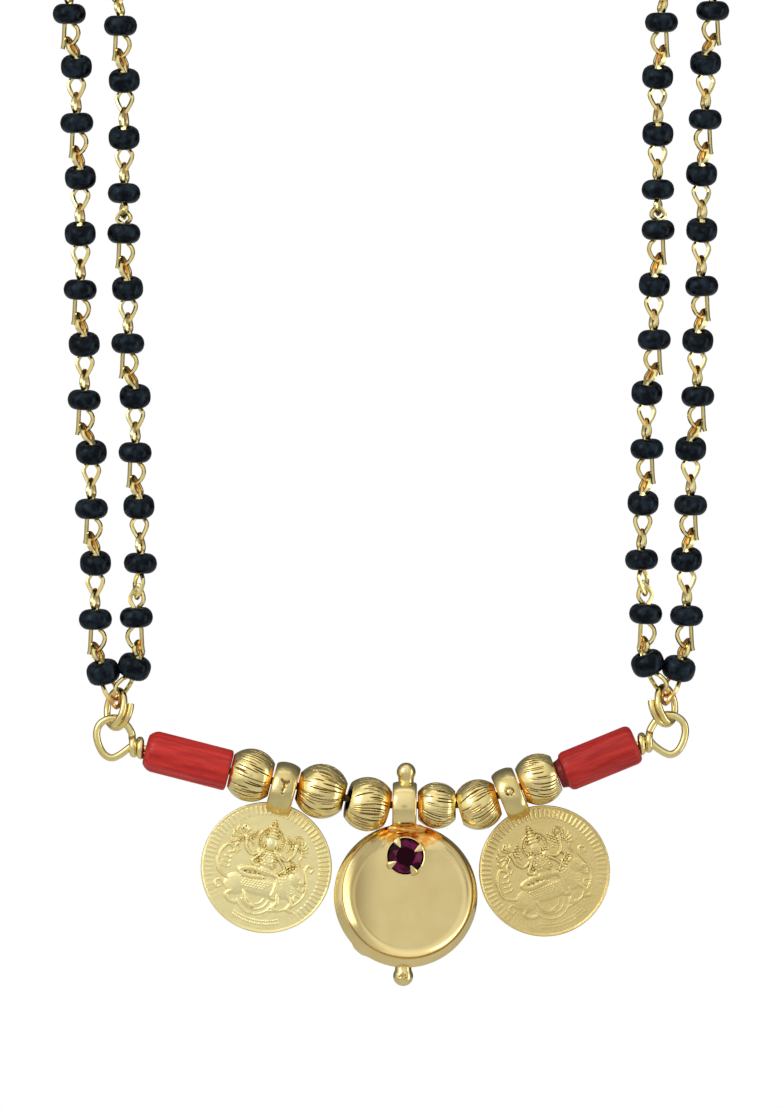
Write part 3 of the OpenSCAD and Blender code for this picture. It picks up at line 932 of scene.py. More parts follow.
# %% Make the gold beads
def graver_lines(lines, slant):
    """Lines round a bead: angle, start and end along it from -1 to 1, slant, bend and width."""
    shared = [(rng.integers(1, 4), rng.uniform(0, TURN)) for _ in range(3)]
    rows = []
    for k in range(lines):
        around = TURN * (k + rng.uniform(-LINE_STRAY, LINE_STRAY)) / lines
        swell = sum(math.sin(n * around + p) for n, p in shared) / 3
        begin = rng.uniform(*LINE_BEGIN)
        stop = begin + rng.uniform(*LINE_LONG)
        lean = slant + LEAN_TOGETHER * swell + rng.uniform(-LEAN_ALONE, LEAN_ALONE)
        bend = BEND_TOGETHER * math.sin(around + shared[0][1]) + rng.uniform(-BEND_ALONE, BEND_ALONE)
        rows.append((around, begin, stop, lean, bend, rng.uniform(*LINE_WIDE)))
    return rows


def gold_bead(long, wide, lines, slant):
    """A barrel about X with a lip at each end, and with its lines cut in."""
    radius, half, lip = wide / 2, long / 2, BEAD_LIP
    reach = math.asin((half - lip * 0.6) / radius)
    arc = [(radius * math.cos(b), radius * math.sin(b)) for b in np.linspace(-reach, reach, 41)]
    end = arc[-1][0]
    right_end = [(end - lip * 0.4, half - lip * 0.15), (end - lip, half), (BEAD_MOUTH, half),
                 (BEAD_BORE, half - FUNNEL)]
    left_end = [(r, -x) for r, x in reversed(right_end)]
    outline = left_end + arc + right_end
    rows = graver_lines(lines, slant)

    def engraved(angle, x, radius_here):
        groove = 0 * angle
        for around, begin, stop, lean, bend, width in rows:
            along = x / half
            middle = around + lean * x + bend * along**2
            away = np.abs((angle - middle + math.pi) % TURN - math.pi) * radius / (GROOVE_WIDE * width)
            there = clamp((along - begin) / LINE_FADE) * clamp((stop - along) / LINE_FADE)
            groove = np.maximum(groove, clamp(GROOVE_BROAD - away**2) * there * min(1, width))
        groove = groove * clamp((half - LINE_MARGIN - np.abs(x)) / MARGIN_FADE) * (radius_here > end - 0.01)
        # Painted warm shade and reflection next to the bead's ends
        painted_warmth = BEAD_PAINTED_WARMTH * clamp((np.abs(x) - half + BEAD_WARMTH_IN) / BEAD_WARMTH_OVER)
        # Painted shade in the bore, and in the engraved lines through their depth
        hole = radius_here < BEAD_MOUTH + 0.01
        return -GROOVE * groove, np.maximum(np.where(groove > 0.1, groove, -painted_warmth), hole)

    return turned(outline, BEAD_STEPS, engraved)


for number, (x, down, long, wide, lean, turn, lines, slant) in enumerate(GOLD_BEADS, 1):
    place = on_bar(x, down, lean) @ spun(turn, "Z")
    shape = gold_bead(long, wide, lines, slant).placed(place)
    make_piece(f"engraved_bead_{number}", {bead_gold: [shape]}, "necklace", [f"gold_bead_{number}"])

# %% [markdown]
# ## Relief on a coin
#
# A coin is struck: the die pushes the picture up out of a flat field. So the picture is drawn as
# heights, with three tools that a die cutter has too: a dome for a body, a rounded stroke for a
# limb or a scroll, and a dot. Each only raises the surface, and the higher of two shapes wins.


# %% The die cutter's tools
class Relief:
    """Heights over a flat field, in millimetres. x runs right and z up from the picture's middle."""

    def __init__(self, x, z, scale=1.0, up=0.0):
        self.x, self.z = x / scale, (z - up) / scale
        self.height = np.zeros_like(x)

    def lift(self, where, height):
        self.height[where] = np.maximum(self.height[where], height)

    def near(self, x, z, reach):
        return (np.abs(self.x - x) < reach) & (np.abs(self.z - z) < reach)

    def dome(self, x, z, wide, high, rise, turn=0.0):
        where = self.near(x, z, max(wide, high))
        a = math.radians(turn)
        u, v = self.x[where] - x, self.z[where] - z
        inside = 1 - ((u * math.cos(a) + v * math.sin(a)) / wide) ** 2
        inside = inside - ((v * math.cos(a) - u * math.sin(a)) / high) ** 2
        self.lift(where, rise * np.sqrt(clamp(inside)))

    def dots(self, places, radius, rise):
        for x, z in places:
            self.dome(x, z, radius, radius, rise)

    def stroke(self, points, width, rise, curved=True):
        """A rounded line of that width through the points."""
        line = smooth(points, 5) if curved and len(points) > 2 else np.asarray(points, float)
        for (ax, az), (bx, bz) in zip(line, line[1:]):
            mid_x, mid_z = (ax + bx) / 2, (az + bz) / 2
            span = math.hypot(bx - ax, bz - az)
            where = self.near(mid_x, mid_z, span / 2 + width)
            u, v = self.x[where] - ax, self.z[where] - az
            t = clamp((u * (bx - ax) + v * (bz - az)) / max(span, 1e-6) ** 2)
            away = np.hypot(u - t * (bx - ax), v - t * (bz - az)) / (width / 2)
            self.lift(where, rise * np.sqrt(clamp(1 - away**2)))


def arc(x, z, radius, start, stop, count):
    """Points round an arc, in degrees from the right."""
    a = np.radians(np.linspace(start, stop, count))
    return np.stack([x + radius * np.cos(a), z + radius * np.sin(a)], -1)


def highest(draw):
    """How high a part of the picture stands, tried on a coarse grid."""
    x, z = np.meshgrid(np.linspace(-5, 5, 80), np.linspace(-5, 5, 80))
    trial = Relief(x, z)
    draw(trial)
    return round(trial.height.max(), 2)


print("a single dome stands", highest(lambda r: r.dome(0, 0, 1, 1, 0.2)), "mm high")

# %% [markdown]
# The figure is the traditional one of such coins: a crowned goddess with four arms who rides a
# lion, with scrolls beside her and a toothed border. Each part is a function that draws on a
# relief, r. The lion comes first: its body, haunch, chest and head are domes, its mane is rows of
# dots, and its legs and tail are strokes.

# %% The lion
LION_LEGS = [
    [(2.4, -2.2), (2.85, -2.9), (2.6, -3.45), (3.1, -3.6)],
    [(1.5, -2.4), (1.55, -3.1), (1.25, -3.6), (1.75, -3.7)],
    [(-2.6, -2.7), (-3.1, -3.2), (-2.7, -3.65), (-2.15, -3.75)],
    [(-1.6, -2.6), (-1.45, -3.2), (-1.0, -3.7), (-0.5, -3.75)]]
LION_TAIL = [(-3.3, -1.7), (-4.3, -1.1), (-4.45, 0.2), (-3.95, 1.2), (-3.35, 1.25), (-3.2, 0.8),
             (-3.55, 0.6)]


def draw_lion(r):
    r.dome(-0.4, -1.95, 2.6, 0.8, 0.15, -3)
    r.dome(-2.5, -2.1, 1.0, 1.0, 0.17)
    r.dome(2.0, -1.5, 0.95, 1.15, 0.17, 15)
    r.dome(2.85, -0.65, 0.72, 0.66, 0.2)
    r.dome(3.4, -0.85, 0.36, 0.28, 0.22)
    r.dome(2.55, -0.02, 0.2, 0.26, 0.19, -30)
    r.dots([(3.05, -0.5), (3.62, -0.78)], 0.09, 0.28)
    for reach in (0.8, 1.05, 1.3):
        r.dots(arc(2.75, -0.7, reach, 95, 265, round(reach * 11)), 0.12, 0.2)
    for leg in LION_LEGS:
        r.stroke(leg, 0.34, 0.16)
    r.stroke(LION_TAIL, 0.22, 0.17)
    for k in range(3):
        tuft = [(-3.9 - 0.1 * k, 0.2 - 0.45 * k), (-3.5, 0.1 - 0.42 * k), (-3.3, 0.25 - 0.42 * k)]
        r.stroke(tuft, 0.12, 0.1)


print("the lion stands", highest(draw_lion), "mm high")

# %% [markdown]
# She sits with one leg drawn up and one hanging. Folds are short strokes, and necklaces, belt and
# patterned cloth are rows of dots. Two arms are raised, and the lower two each go their own way.


# %% The seated body and its arms
def draw_seated_body(r):
    r.stroke([(0.3, -0.55), (-1.2, -0.4), (-2.3, -0.7), (-1.7, -1.15), (-0.3, -1.05)], 0.5, 0.22)
    r.stroke([(0.4, -0.5), (1.15, -0.8), (1.2, -1.7), (1.0, -2.5)], 0.44, 0.22)
    r.dome(1.15, -2.75, 0.34, 0.17, 0.2, -10)
    r.dome(0, 0.5, 0.78, 1.0, 0.24)
    r.dome(0, -0.45, 0.95, 0.42, 0.23)
    for k in range(5):
        r.stroke([(-0.5 - 0.42 * k, -0.62), (-0.55 - 0.42 * k, -1.12)], 0.07, 0.27, False)
    r.dots([(-0.9 + 0.3 * k, -0.42 - 0.04 * k) for k in range(8)], 0.1, 0.3)
    r.dots([(-2.1 + 0.27 * k, -1.3 + 0.02 * k) for k in range(9)], 0.09, 0.22)
    r.dots(arc(0, 1.45, 0.55, 200, 340, 9), 0.09, 0.32)
    r.dots(arc(0, 1.35, 0.95, 215, 325, 13), 0.09, 0.32)
    r.stroke([(-0.62, 1.2), (-0.1, 0.4), (0.55, -0.2)], 0.12, 0.3)
    for k in range(6):
        r.dots([(0.3 * j + 0.15 * (k % 2), 1.35 - 0.24 * k) for j in range(-3, 3)], 0.11, 0.31)
    for k in range(4):
        r.dots([(-1.9 + 0.26 * j + 0.13 * (k % 2), -1.5 - 0.2 * k) for j in range(11 - k)], 0.1, 0.24)


def draw_arms(r):
    """The raised arms, the lower ones, and what the hands hold."""
    for side in SIDES.values():
        r.dome(side * 0.72, 1.25, 0.4, 0.32, 0.24, side * -25)
        r.stroke([(side * 0.8, 1.2), (side * 1.6, 0.85), (side * 2.15, 1.35), (side * 2.3, 2.1)], 0.26, 0.22)
        r.dome(side * 2.32, 2.3, 0.2, 0.24, 0.22)
        r.dots([(side * (1.9 + 0.1 * k), 1.08 + 0.16 * k) for k in range(4)], 0.09, 0.27)
    r.stroke([(-0.8, 1.0), (-1.4, 0.25), (-0.95, -0.1)], 0.26, 0.25)
    r.dome(-0.85, -0.05, 0.24, 0.2, 0.27)
    r.stroke([(0.8, 1.0), (1.5, 0.3), (1.75, -0.25)], 0.26, 0.25)
    r.stroke([(2.35, 0.75), (1.0, -0.75)], 0.14, 0.26, False)
    r.stroke([(2.05, 0.85), (2.6, 0.55)], 0.12, 0.24, False)
    for lean in (-35, 0, 35):
        a = math.radians(90 + lean)
        r.dome(-2.4 + 0.33 * math.cos(a), 2.7 + 0.36 * math.sin(a), 0.34, 0.13, 0.2, 90 + lean)
    r.stroke([(-2.36, 2.4), (-2.4, 2.8)], 0.12, 0.2, False)
    r.stroke(arc(2.4, 2.85, 0.36, 0, 360, 17), 0.13, 0.2)
    r.dots([(2.4, 2.85)], 0.12, 0.2)
    r.stroke([(-2.5, 2.0), (-2.9, 1.6), (-2.7, 1.1), (-2.95, 0.7)], 0.12, 0.14)
    r.stroke([(2.55, 2.0), (3.0, 1.6), (2.85, 1.1), (3.1, 0.6)], 0.12, 0.14)


print("body and arms stand", highest(draw_seated_body), "and", highest(draw_arms), "mm high")

# %% [markdown]
# The face is a plain oval with plain features, under a crown of five tiers. Round it runs a halo
# of dots.


# %% The head and its crown
# How high each tier of the crown stands, and its half width
CROWN_TIERS = [(2.72, 0.58), (3.02, 0.5), (3.32, 0.4), (3.6, 0.3), (3.86, 0.18)]


def draw_head(r):
    r.dome(0, 2.1, 0.5, 0.64, 0.3)
    r.dots([(-0.17, 2.2), (0.17, 2.2)], 0.07, 0.345)
    r.stroke([(0, 2.2), (0, 2.0)], 0.07, 0.35, False)
    r.stroke([(-0.1, 1.83), (0.1, 1.83)], 0.06, 0.33, False)
    r.dots([(-0.56, 2.0), (0.56, 2.0), (-0.58, 1.78), (0.58, 1.78)], 0.12, 0.26)
    for high, wide in CROWN_TIERS:
        r.dome(0, high, wide, 0.2, 0.27)
        r.dots([(wide * side, high) for side in (-0.9, -0.45, 0, 0.45, 0.9)], 0.1, 0.34)
    r.dots([(0, 4.12)], 0.12, 0.24)
    r.dots(arc(0, 2.3, 1.0, -35, 215, 22), 0.1, 0.19)
    r.stroke(arc(0, 2.3, 1.22, -35, 215, 22), 0.09, 0.12)


print("the head stands", highest(draw_head), "mm high")

# %% [markdown]
# A branch runs up beside the lion and curls at its top, with small curls on its way, and flames
# stand out behind the raised hands.

# %% Scrolls and flames
# Course, width and rise of each curl
CURLS = [
    ([(0.9, -3.95), (2.0, -3.7), (3.0, -3.1), (3.75, -2.2), (3.95, -1.2), (3.7, -0.3), (3.5, 0.3),
      (3.75, 0.8), (4.2, 0.62), (4.05, 0.25)], 0.19, 0.14),
    ([(3.9, -1.0), (3.4, -1.0), (3.25, -1.45), (3.6, -1.65), (3.72, -1.4)], 0.14, 0.12),
    ([(3.7, -2.3), (3.15, -2.1), (2.95, -2.5), (3.25, -2.75)], 0.13, 0.11),
    ([(-3.4, -2.5), (-3.9, -2.0), (-4.3, -2.3), (-4.1, -2.75), (-3.8, -2.6)], 0.13, 0.1)]
# Each point of a flame: its middle, how far from it across and up, and its turn
LEFT_FLAME = [(-2.4, 1.9, 0.7, 0.75, 0), (-2.5, 1.9, 1.05, 1.15, 0.2), (-2.5, 1.9, 1.2, 1.45, -0.1)]
RIGHT_FLAME = [(2.5, 2.0, 0.55, 0.6, 0), (2.55, 2.0, 0.85, 1.0, 0.25)]
# Flame, angle of the first, angle to the next, width and rise
FLAMES = [(LEFT_FLAME, 100, 28, 0.17, 0.15), (RIGHT_FLAME, -40, 26, 0.16, 0.14)]
FLAMES_A_SIDE = 5


def draw_scrolls(r):
    for curl, width, rise in CURLS:
        r.stroke(curl, width, rise)
    for flame, first, step, width, rise in FLAMES:
        for a in np.radians(first + step * np.arange(FLAMES_A_SIDE)):
            r.stroke([(x + across * math.cos(a + turn), z + up * math.sin(a + turn))
                      for x, z, across, up, turn in flame], width, rise)
    for side in SIDES.values():
        for k in range(3):
            r.dots([(side * (1.45 + 0.24 * j), 2.95 - 0.2 * j - 0.26 * k) for j in range(4)], 0.1, 0.2)
        r.dots(arc(side * 2.3, 1.5, 0.75, 90 - side * 60, 90 + side * 75, 9), 0.1, 0.2)


print("the scrolls stand", highest(draw_scrolls), "mm high")

# %% [markdown]
# Round the picture runs a border of short teeth. Where real coins have a line of writing there
# are only two rows of dots. Border and figure are drawn apart, and the higher of the two wins.

# %% The border and the whole picture
TEETH, TOOTH_FROM, TOOTH_TO = 78, 5.4, 6.15
TOOTH_WIDE, TOOTH_HIGH, TOOTH_FAINTEST = 0.22, 0.15, 0.05
FIGURE_SCALE, FIGURE_UP = 1.1, 0.15


def draw_border(r, fade):
    """Three waves under the lion, two rows of dots at the foot, and the border's teeth."""
    for reach in (0.9, 1.4, 1.9):
        r.stroke(arc(-0.5, -2.9, reach, 205, 345, 9), 0.16, 0.09)
    for reach in (5.35, 5.65):
        r.dots(arc(0, 0, reach, 246, 294, 21), 0.085, 0.1)
    for k in range(TEETH):
        a = TURN * k / TEETH
        strength = fade(a)
        if strength > TOOTH_FAINTEST:
            tooth = [(reach * math.cos(a), reach * math.sin(a)) for reach in (TOOTH_FROM, TOOTH_TO)]
            r.stroke(tooth, TOOTH_WIDE, TOOTH_HIGH * strength, False)


def struck(x, z, fade, depth):
    """Heights of the struck picture at points of the coin's face."""
    figure = Relief(x, z, FIGURE_SCALE, FIGURE_UP)
    for draw in (draw_lion, draw_seated_body, draw_arms, draw_head, draw_scrolls):
        draw(figure)
    border = Relief(x, z)
    draw_border(border, fade)
    return np.maximum(figure.height, border.height) * depth


print("teeth round the border:", TEETH)

# %% [markdown]
# ## The coins
#
# The face needs the same fine mesh everywhere, so a square grid is bent into a disc. The edge and
# the plain back hang from the grid's border, so the coin is one closed skin. The two coins are
# from one die, but the right one is worn more: it is lower, and its teeth are gone elsewhere.

# %% Measures of the coins
COIN_RADIUS, COIN_THICK = 6.55, 0.9
# The lip's height, how far in it starts and over what width it rises; and the rounding of the edge
COIN_LIP, LIP_IN, LIP_OVER, COIN_EDGE = 0.12, 0.26, 0.12, 0.12
FACE_CELLS = 208
# Place across, the bail's width, how far the bail and the disc hang, the disc's shift, the bail's lean
COINS = {"left": (-10.67, 2.44, 0.55, 8.61, 0.0, 3), "right": (11.85, 2.3, 0.35, 8.72, 0.37, -2)}
# How deep the picture is struck, how much more its head stands out than its foot, where round the
# border the teeth are worn and by how much, and how dark its crevices are painted, as painted shade
STRIKES = {"left": (0.95, 0.0, math.radians(215), 0.92, 9),
           "right": (0.5, 0.45, math.radians(272), 1.0, 24)}
CREVICE_BLUR, CREVICE_FROM, CREVICE_MOST = 2, 0.1, 0.8
# How deep the field is dished and waved, and how the teeth fade out towards the foot
FIELD_DISH, FIELD_WAVE = 0.02, 0.012
FOOT_FADE_FROM, FOOT_FADE = 3.4, 4.2
# The edge and the back: share of the radius, and how far in front of the back
COIN_BACK = [(1.0, COIN_THICK / 2), (1.0, 0.12), (0.988, 0.02), (0.97, 0.0), (0.95, 0.0), (0.93, 0.1),
             (0.5, 0.1), (0.03, 0.1)]
print("points across a coin's face:", FACE_CELLS + 1)


# %% The coin's skin
def disc_grid(cells):
    """A square grid bent into a disc of radius 1, and the numbers of its border points in turn."""
    side = np.linspace(-1, 1, cells + 1)
    u, v = np.meshgrid(side, side, indexing="ij")
    x, z = u * np.sqrt(1 - v**2 / 2), v * np.sqrt(1 - u**2 / 2)
    n = cells + 1
    number = np.arange(n * n).reshape(n, n)
    border = np.concatenate([number[:-1, 0], number[-1, :-1], number[:0:-1, -1], number[0, :0:-1]])
    return x, z, border


def crevices(height, strength):
    """Painted shade: dark where the face lies below what surrounds it, as beside a raised stroke."""
    around = height.copy()
    for _ in range(CREVICE_BLUR):
        around = (around + sum(np.roll(around, s, a) for s in (-1, 1) for a in (0, 1))) / 5
    return clamp(strength * (around - height) - CREVICE_FROM, CREVICE_MOST)


def coin_face(name, x, z):
    """How far back the face lies at each point, and how dark its painted shade is there."""
    away = np.hypot(x, z)
    depth, head, worn_at, worn_by, crevice = STRIKES[name]

    def fade(a):
        """The border's teeth are struck weakly on one side and left out at the foot."""
        foot = math.cos(a + math.pi / 2)
        clear = min(1.0, max(0.0, FOOT_FADE_FROM - FOOT_FADE * foot))
        return (1 - worn_by * (0.5 + 0.5 * math.cos(a - worn_at))) * clear

    height = struck(x, z, fade, depth) * (1 + head * z / COIN_RADIUS)
    dish = FIELD_DISH * np.cos(away / COIN_RADIUS * math.pi) + FIELD_WAVE * np.sin(1.3 * x + 0.7 * z)
    lip = COIN_LIP * clamp((away - (COIN_RADIUS - LIP_IN)) / LIP_OVER)
    edge = np.sqrt(clamp(1 - clamp((away - (COIN_RADIUS - COIN_EDGE)) / COIN_EDGE) ** 2))
    front = -(COIN_THICK / 2 - COIN_LIP) - height - dish - lip + COIN_EDGE * (1 - edge)
    return front, crevices(height, crevice)


def coin(name):
    """A struck disc about Y, with its front at -Y. Edge and back hang from the face's border."""
    x, z, border = disc_grid(FACE_CELLS)
    x, z = x * COIN_RADIUS, z * COIN_RADIUS
    front, dark = coin_face(name, x, z)
    points = [np.stack([x, front, z], -1).reshape(-1, 3)]
    faces = grid_faces(FACE_CELLS + 1, FACE_CELLS + 1, wrap_columns=False)
    rim = points[0][border]
    count, last, start = len(border), border, len(points[0])
    for share, less in COIN_BACK:
        points.append(rim * (share, 0, share) + (0, COIN_THICK / 2 - less, 0))
        now = np.arange(start, start + count)
        quads = np.stack([last, np.roll(last, -1), np.roll(now, -1), now], -1)
        faces += quads.tolist()
        last, start = now, start + count
    cut = np.zeros(start)
    cut[:dark.size] = dark.ravel()
    return Shape(np.vstack(points), faces + [last.tolist()], cut=cut)


print("points on a coin's border:", len(disc_grid(FACE_CELLS)[2]))

# %% [markdown]
# A bail is a short turned tube with a domed outside. Three angles matter on it: 0 is its back,
# half a turn is its front with the punch marks, and about a quarter turn on is its soldered foot.

# %% The bails
BAIL_WIDE, BAIL_HOLE, BAIL_DOME, BAIL_CORNER = 5.4, 0.46, 0.32, 0.15
BAIL_ROUND = 2.4
# A bail gets painted warm reflection along its edges, and less at its foot, between two angles
BAIL_PAINTED_WARMTH, BAIL_WARMTH_IN, BAIL_WARMTH_OVER, FOOT_PAINTED_WARMTH = 0.36, 0.18, 0.15, 0.35
FOOT_FROM, FOOT_TO, FOOT_OVER = math.pi + 0.65, math.pi + 2.0, 0.45
BAIL_ROWS, BAIL_STEPS, BAIL_BEVEL = 25, 128, 0.1
# A dent's depth in a bail and in a ball, how flat its floor is, and how dark it is painted, as painted shade
BAIL_DENT, BALL_DENT, DENT_FLAT, DENT_PAINTED_SHADE = 0.16, 0.1, 1.4, 0.85


def punched(marks, radius, reach, deep, half=None):
    """Small dents in a turned shape. Each mark is an angle, a place along and a size.
    With half, the length's half, the shape is a bail, with painted warm reflection at its edges and
    at its soldered foot. The dents are painted dark, as painted shade."""
    def dented(angle, along, radius_here):
        dent = 0 * angle
        for mark_angle, mark_along, size in marks:
            away = np.hypot((angle - mark_angle) * radius, along - mark_along)
            dent = np.maximum(dent, clamp(DENT_FLAT - DENT_FLAT * (away / size) ** 2))
        dent = dent * (radius_here > radius - reach)
        # Painted shade in the dents
        cut = DENT_PAINTED_SHADE * dent
        if half:
            # Painted warm reflection along the bail's edges and at its foot
            painted_warmth = clamp((np.abs(along) - half + BAIL_WARMTH_IN) / BAIL_WARMTH_OVER)
            foot = clamp((angle - FOOT_FROM) / FOOT_OVER) * (angle < FOOT_TO)
            cut = np.where(cut > 0.05, cut, -BAIL_PAINTED_WARMTH * np.maximum(painted_warmth, FOOT_PAINTED_WARMTH * foot))
        return -deep * dent, cut

    return dented


def bail(wide, high, hole, dome, marks):
    """A short tube about X, with a domed outside and small punch marks where marks says."""
    half, radius = wide / 2, high / 2
    across = np.linspace(-1, 1, BAIL_ROWS)
    outside = [(radius - dome * abs(t) ** BAIL_ROUND, half * t) for t in across[1:-1]]
    right_end = [(radius - dome - BAIL_BEVEL, half), (hole + BAIL_CORNER, half),
                 (hole, half - BAIL_CORNER)]
    outline = [(r, -x) for r, x in reversed(right_end)] + outside + right_end
    return turned(outline, BAIL_STEPS, punched(marks, radius, dome + 0.05, BAIL_DENT, half))


print("a coin's bail is", BAIL_WIDE, "mm high")

# %% [markdown]
# The left bail's marks stand in a loose bow, and the right one's in a small ring. Bail and disc
# are soldered together, so they are one piece, and each such piece swings on its own.

# %% Make the two coins
# Angle, place along and size of each punch mark
BAIL_MARKS = {
    "left": [(math.pi - 0.36, -0.3, 0.17), (math.pi - 0.3, -0.08, 0.2), (math.pi - 0.2, 0.02, 0.22),
             (math.pi - 0.3, 0.22, 0.2), (math.pi - 0.36, 0.42, 0.16), (math.pi - 0.1, 0.1, 0.2),
             (math.pi + 0.02, 0.02, 0.17), (math.pi + 0.16, 0.06, 0.12)],
    "right": [(math.pi - 0.14 + 0.14 * math.cos(TURN * k / 9), 0.36 * math.sin(TURN * k / 9), 0.12)
              for k in range(9)]}
COIN_FINISH = {"left": coin_gold, "right": worn_coin_gold}
for name, (x, wide, lower, hang, shift, lean) in COINS.items():
    hole = BAIL_HOLE + lower
    tube = bail(wide, BAIL_WIDE, hole, BAIL_DOME, BAIL_MARKS[name]).placed(on_bar(x, lower, lean))
    disc = coin(name).placed(on_bar(x) @ at(shift, 0, -hang))
    groups = {satin_gold: [tube], COIN_FINISH[name]: [disc]}
    make_piece(f"coin_drop_{name}", groups, f"{name}_coin_drop", [f"coin_{name}"], sharp=50)

# %% [markdown]
# ## The cup
#
# The cup is raised from sheet: a bowl seen from its open side, with a sloping band round it and a
# shallow dish inside. The dish sits a little off centre, so its wall shows wide on the left and
# hides on the right. Such a form is a row of circles, each with its own middle, radius and depth.
# Small changes follow: a lump of solder on the band, a floor that leans to the right and swells a
# little round the stone's setting, and a dip in the rim where the bail was soldered on.

# %% Measures of the cup
# Place on the bar and how far forward the cup hangs, its middle from there, and its radius
CUP_X, CUP_FORWARD = 1.35, 0.34
CUP_SHIFT, CUP_HANG, CUP_RADIUS = 0.25, 9.05, 7.17
# The outer band runs from the widest circle to the rim's edge
BAND_BACK, BAND_WIDE, BAND_DEEP, BAND_BULGE = -0.28, 0.58, 0.72, 1.7
# Radius and how far back of each circle
CUP_BACK = [(0.4, 1.69), (2.5, 1.66), (4.2, 1.55), (5.4, 1.3), (6.2, 0.95), (6.75, 0.5), (7.06, 0.05)]
DISH_WALL = [(6.54, -0.97), (6.5, -0.9), (6.38, -0.8), (6.2, -0.66), (6.02, -0.52), (5.84, -0.38),
             (5.7, -0.29)]
FLOOR_BACK, FLOOR_OUT, FLOOR_IN, FLOOR_RINGS, WALL_WIDE = -0.24, 5.5, 0.2, 27, 0.84
BAND_RINGS, CUP_STEPS = 12, 180
# The floor's lean, where it starts and over what width; and how much of it the rim follows
FLOOR_LEAN, LEAN_FROM, LEAN_OVER, RIM_LEANS = 0.066, -5.4, 3.0, 0.5
# All of the floor leans within this radius, and past it the lean fades out
FLOOR_RADIUS, FLOOR_FADE = 5.7, 0.7
# Painted shade at the wall's foot on the left, and the painted shade line along the top of the wall
PAINTED_FOOT_SHADE, FOOT_SHADE_X, FOOT_SHADE_WIDE, PAINTED_SHADE_LINE = 0.16, -4.9, 0.8, 0.08
# How far right and up of the cup's middle the rim's and the dish's middles lie
RIM_SHIFT, DISH_SHIFT = (0.16, 0.34), (0.34, 0.14)
# Balls and stone: how far right of the bar's place, and how far above or below the bar
BALL_SHIFT, TOP_BALL_UP, LOW_BALL_DOWN = 0.12, 3.3, 17.1
STONE_SHIFT, STONE_HANG = 0.17, 5.02
# The floor's swelling round the stone, its reach, and where it fades out next to the wall
SWELL, SWELL_REACH, SWELL_OUT, SWELL_FADE = 0.06, 1.35, 6.1, 0.6
# The dip: its depth, half width, middle, where it begins, over what height, and how far back
DIP, DIP_REACH, DIP_X, DIP_FROM, DIP_OVER, DIP_BACK = 0.6, 3.0, 0.2, 4.6, 1.8, 0.6
# Where the bail is soldered on: its middle, half width and half height from the cup's middle, and
# the strength of the painted warm reflection there
SEAM_X, SEAM_WIDE, SEAM_Z, SEAM_HIGH, SEAM_PAINTED_WARMTH = 0.4, 2.7, 6.3, 1.35, 0.62
# A lump of solder on the band: where round it, its reach either way, its rise, its depth, and
# how far from the cup's middle it begins
LUMP_AT, LUMP_REACH, LUMP_RISE, LUMP_DEEP, LUMP_FROM = math.radians(-129.5), 0.115, 0.2, 0.9, 6.47
print("the cup is", 2 * CUP_RADIUS, "mm wide")


# %% The bowl
def circles(rows, steps):
    """A skin over circles about Y, each (radius, back, right, up)."""
    angle = TURN * np.arange(steps) / steps
    points = [np.stack([right + r * np.cos(angle), 0 * angle + back, up + r * np.sin(angle)], -1)
              for r, back, right, up in rows]
    return Shape(np.vstack(points), grid_faces(len(rows), steps) + end_faces(len(rows), steps))


def cup_rows():
    """The cup's circles, from the middle of its back round the rim to the middle of its floor."""
    rows = [(r, deep, 0, 0) for r, deep in CUP_BACK]
    for a in np.radians(np.linspace(0, 90, BAND_RINGS)):
        inward, forward = 1 - math.cos(a) ** BAND_BULGE, math.sin(a) ** BAND_BULGE
        rows.append((CUP_RADIUS - BAND_WIDE * inward, BAND_BACK - BAND_DEEP * forward,
                     RIM_SHIFT[0] * inward, RIM_SHIFT[1] * inward))
    for r, deep in DISH_WALL + [(r, FLOOR_BACK) for r in np.linspace(FLOOR_OUT, FLOOR_IN, FLOOR_RINGS)]:
        s = min(1.0, (DISH_WALL[0][0] - r) / WALL_WIDE)
        right, up = ((1 - s) * rim + s * dish for rim, dish in zip(RIM_SHIFT, DISH_SHIFT))
        rows.append((r, deep, right, up))
    return rows


def cup_bent(points):
    """The lump, the leaning and swelling floor, and the dip under the bail."""
    x, y, z = points.T
    near_lump = np.exp(-(((np.arctan2(z, x) - LUMP_AT) / LUMP_REACH) ** 4)) * (np.hypot(x, z) > LUMP_FROM)
    lump = LUMP_RISE * near_lump * clamp(1 - np.abs(y - BAND_BACK) / LUMP_DEEP)
    points[:, [0, 2]] *= 1 + lump[:, None] / CUP_RADIUS
    x, y, z = points.T
    from_stone = np.hypot(x - (STONE_SHIFT - CUP_SHIFT), z - (CUP_HANG - STONE_HANG))
    inside = clamp((SWELL_OUT - np.hypot(x, z)) / SWELL_FADE) * (y < 0)
    beyond = np.clip(x - LEAN_FROM, 0, None)
    leaning = np.where(beyond < LEAN_OVER, beyond**2 / (2 * LEAN_OVER), beyond - LEAN_OVER / 2)
    from_dish = np.hypot(x - DISH_SHIFT[0], z - DISH_SHIFT[1])
    on_floor = clamp(1 - (from_dish - FLOOR_RADIUS) / FLOOR_FADE) * (y < 0)
    on_rim = RIM_LEANS * clamp((BAND_BACK - y) / BAND_DEEP)
    points[:, 1] -= FLOOR_LEAN * leaning * np.maximum(on_floor, on_rim)
    points[:, 1] -= SWELL * inside * np.exp(-((from_stone / SWELL_REACH) ** 2) / 2)
    rise = clamp((z - DIP_FROM) / DIP_OVER)
    dip = np.exp(-(((x - DIP_X) / DIP_REACH) ** 4)) * rise**2 * (3 - 2 * rise) * clamp(-y / DIP_BACK)
    points[:, 1] += DIP * dip
    return points


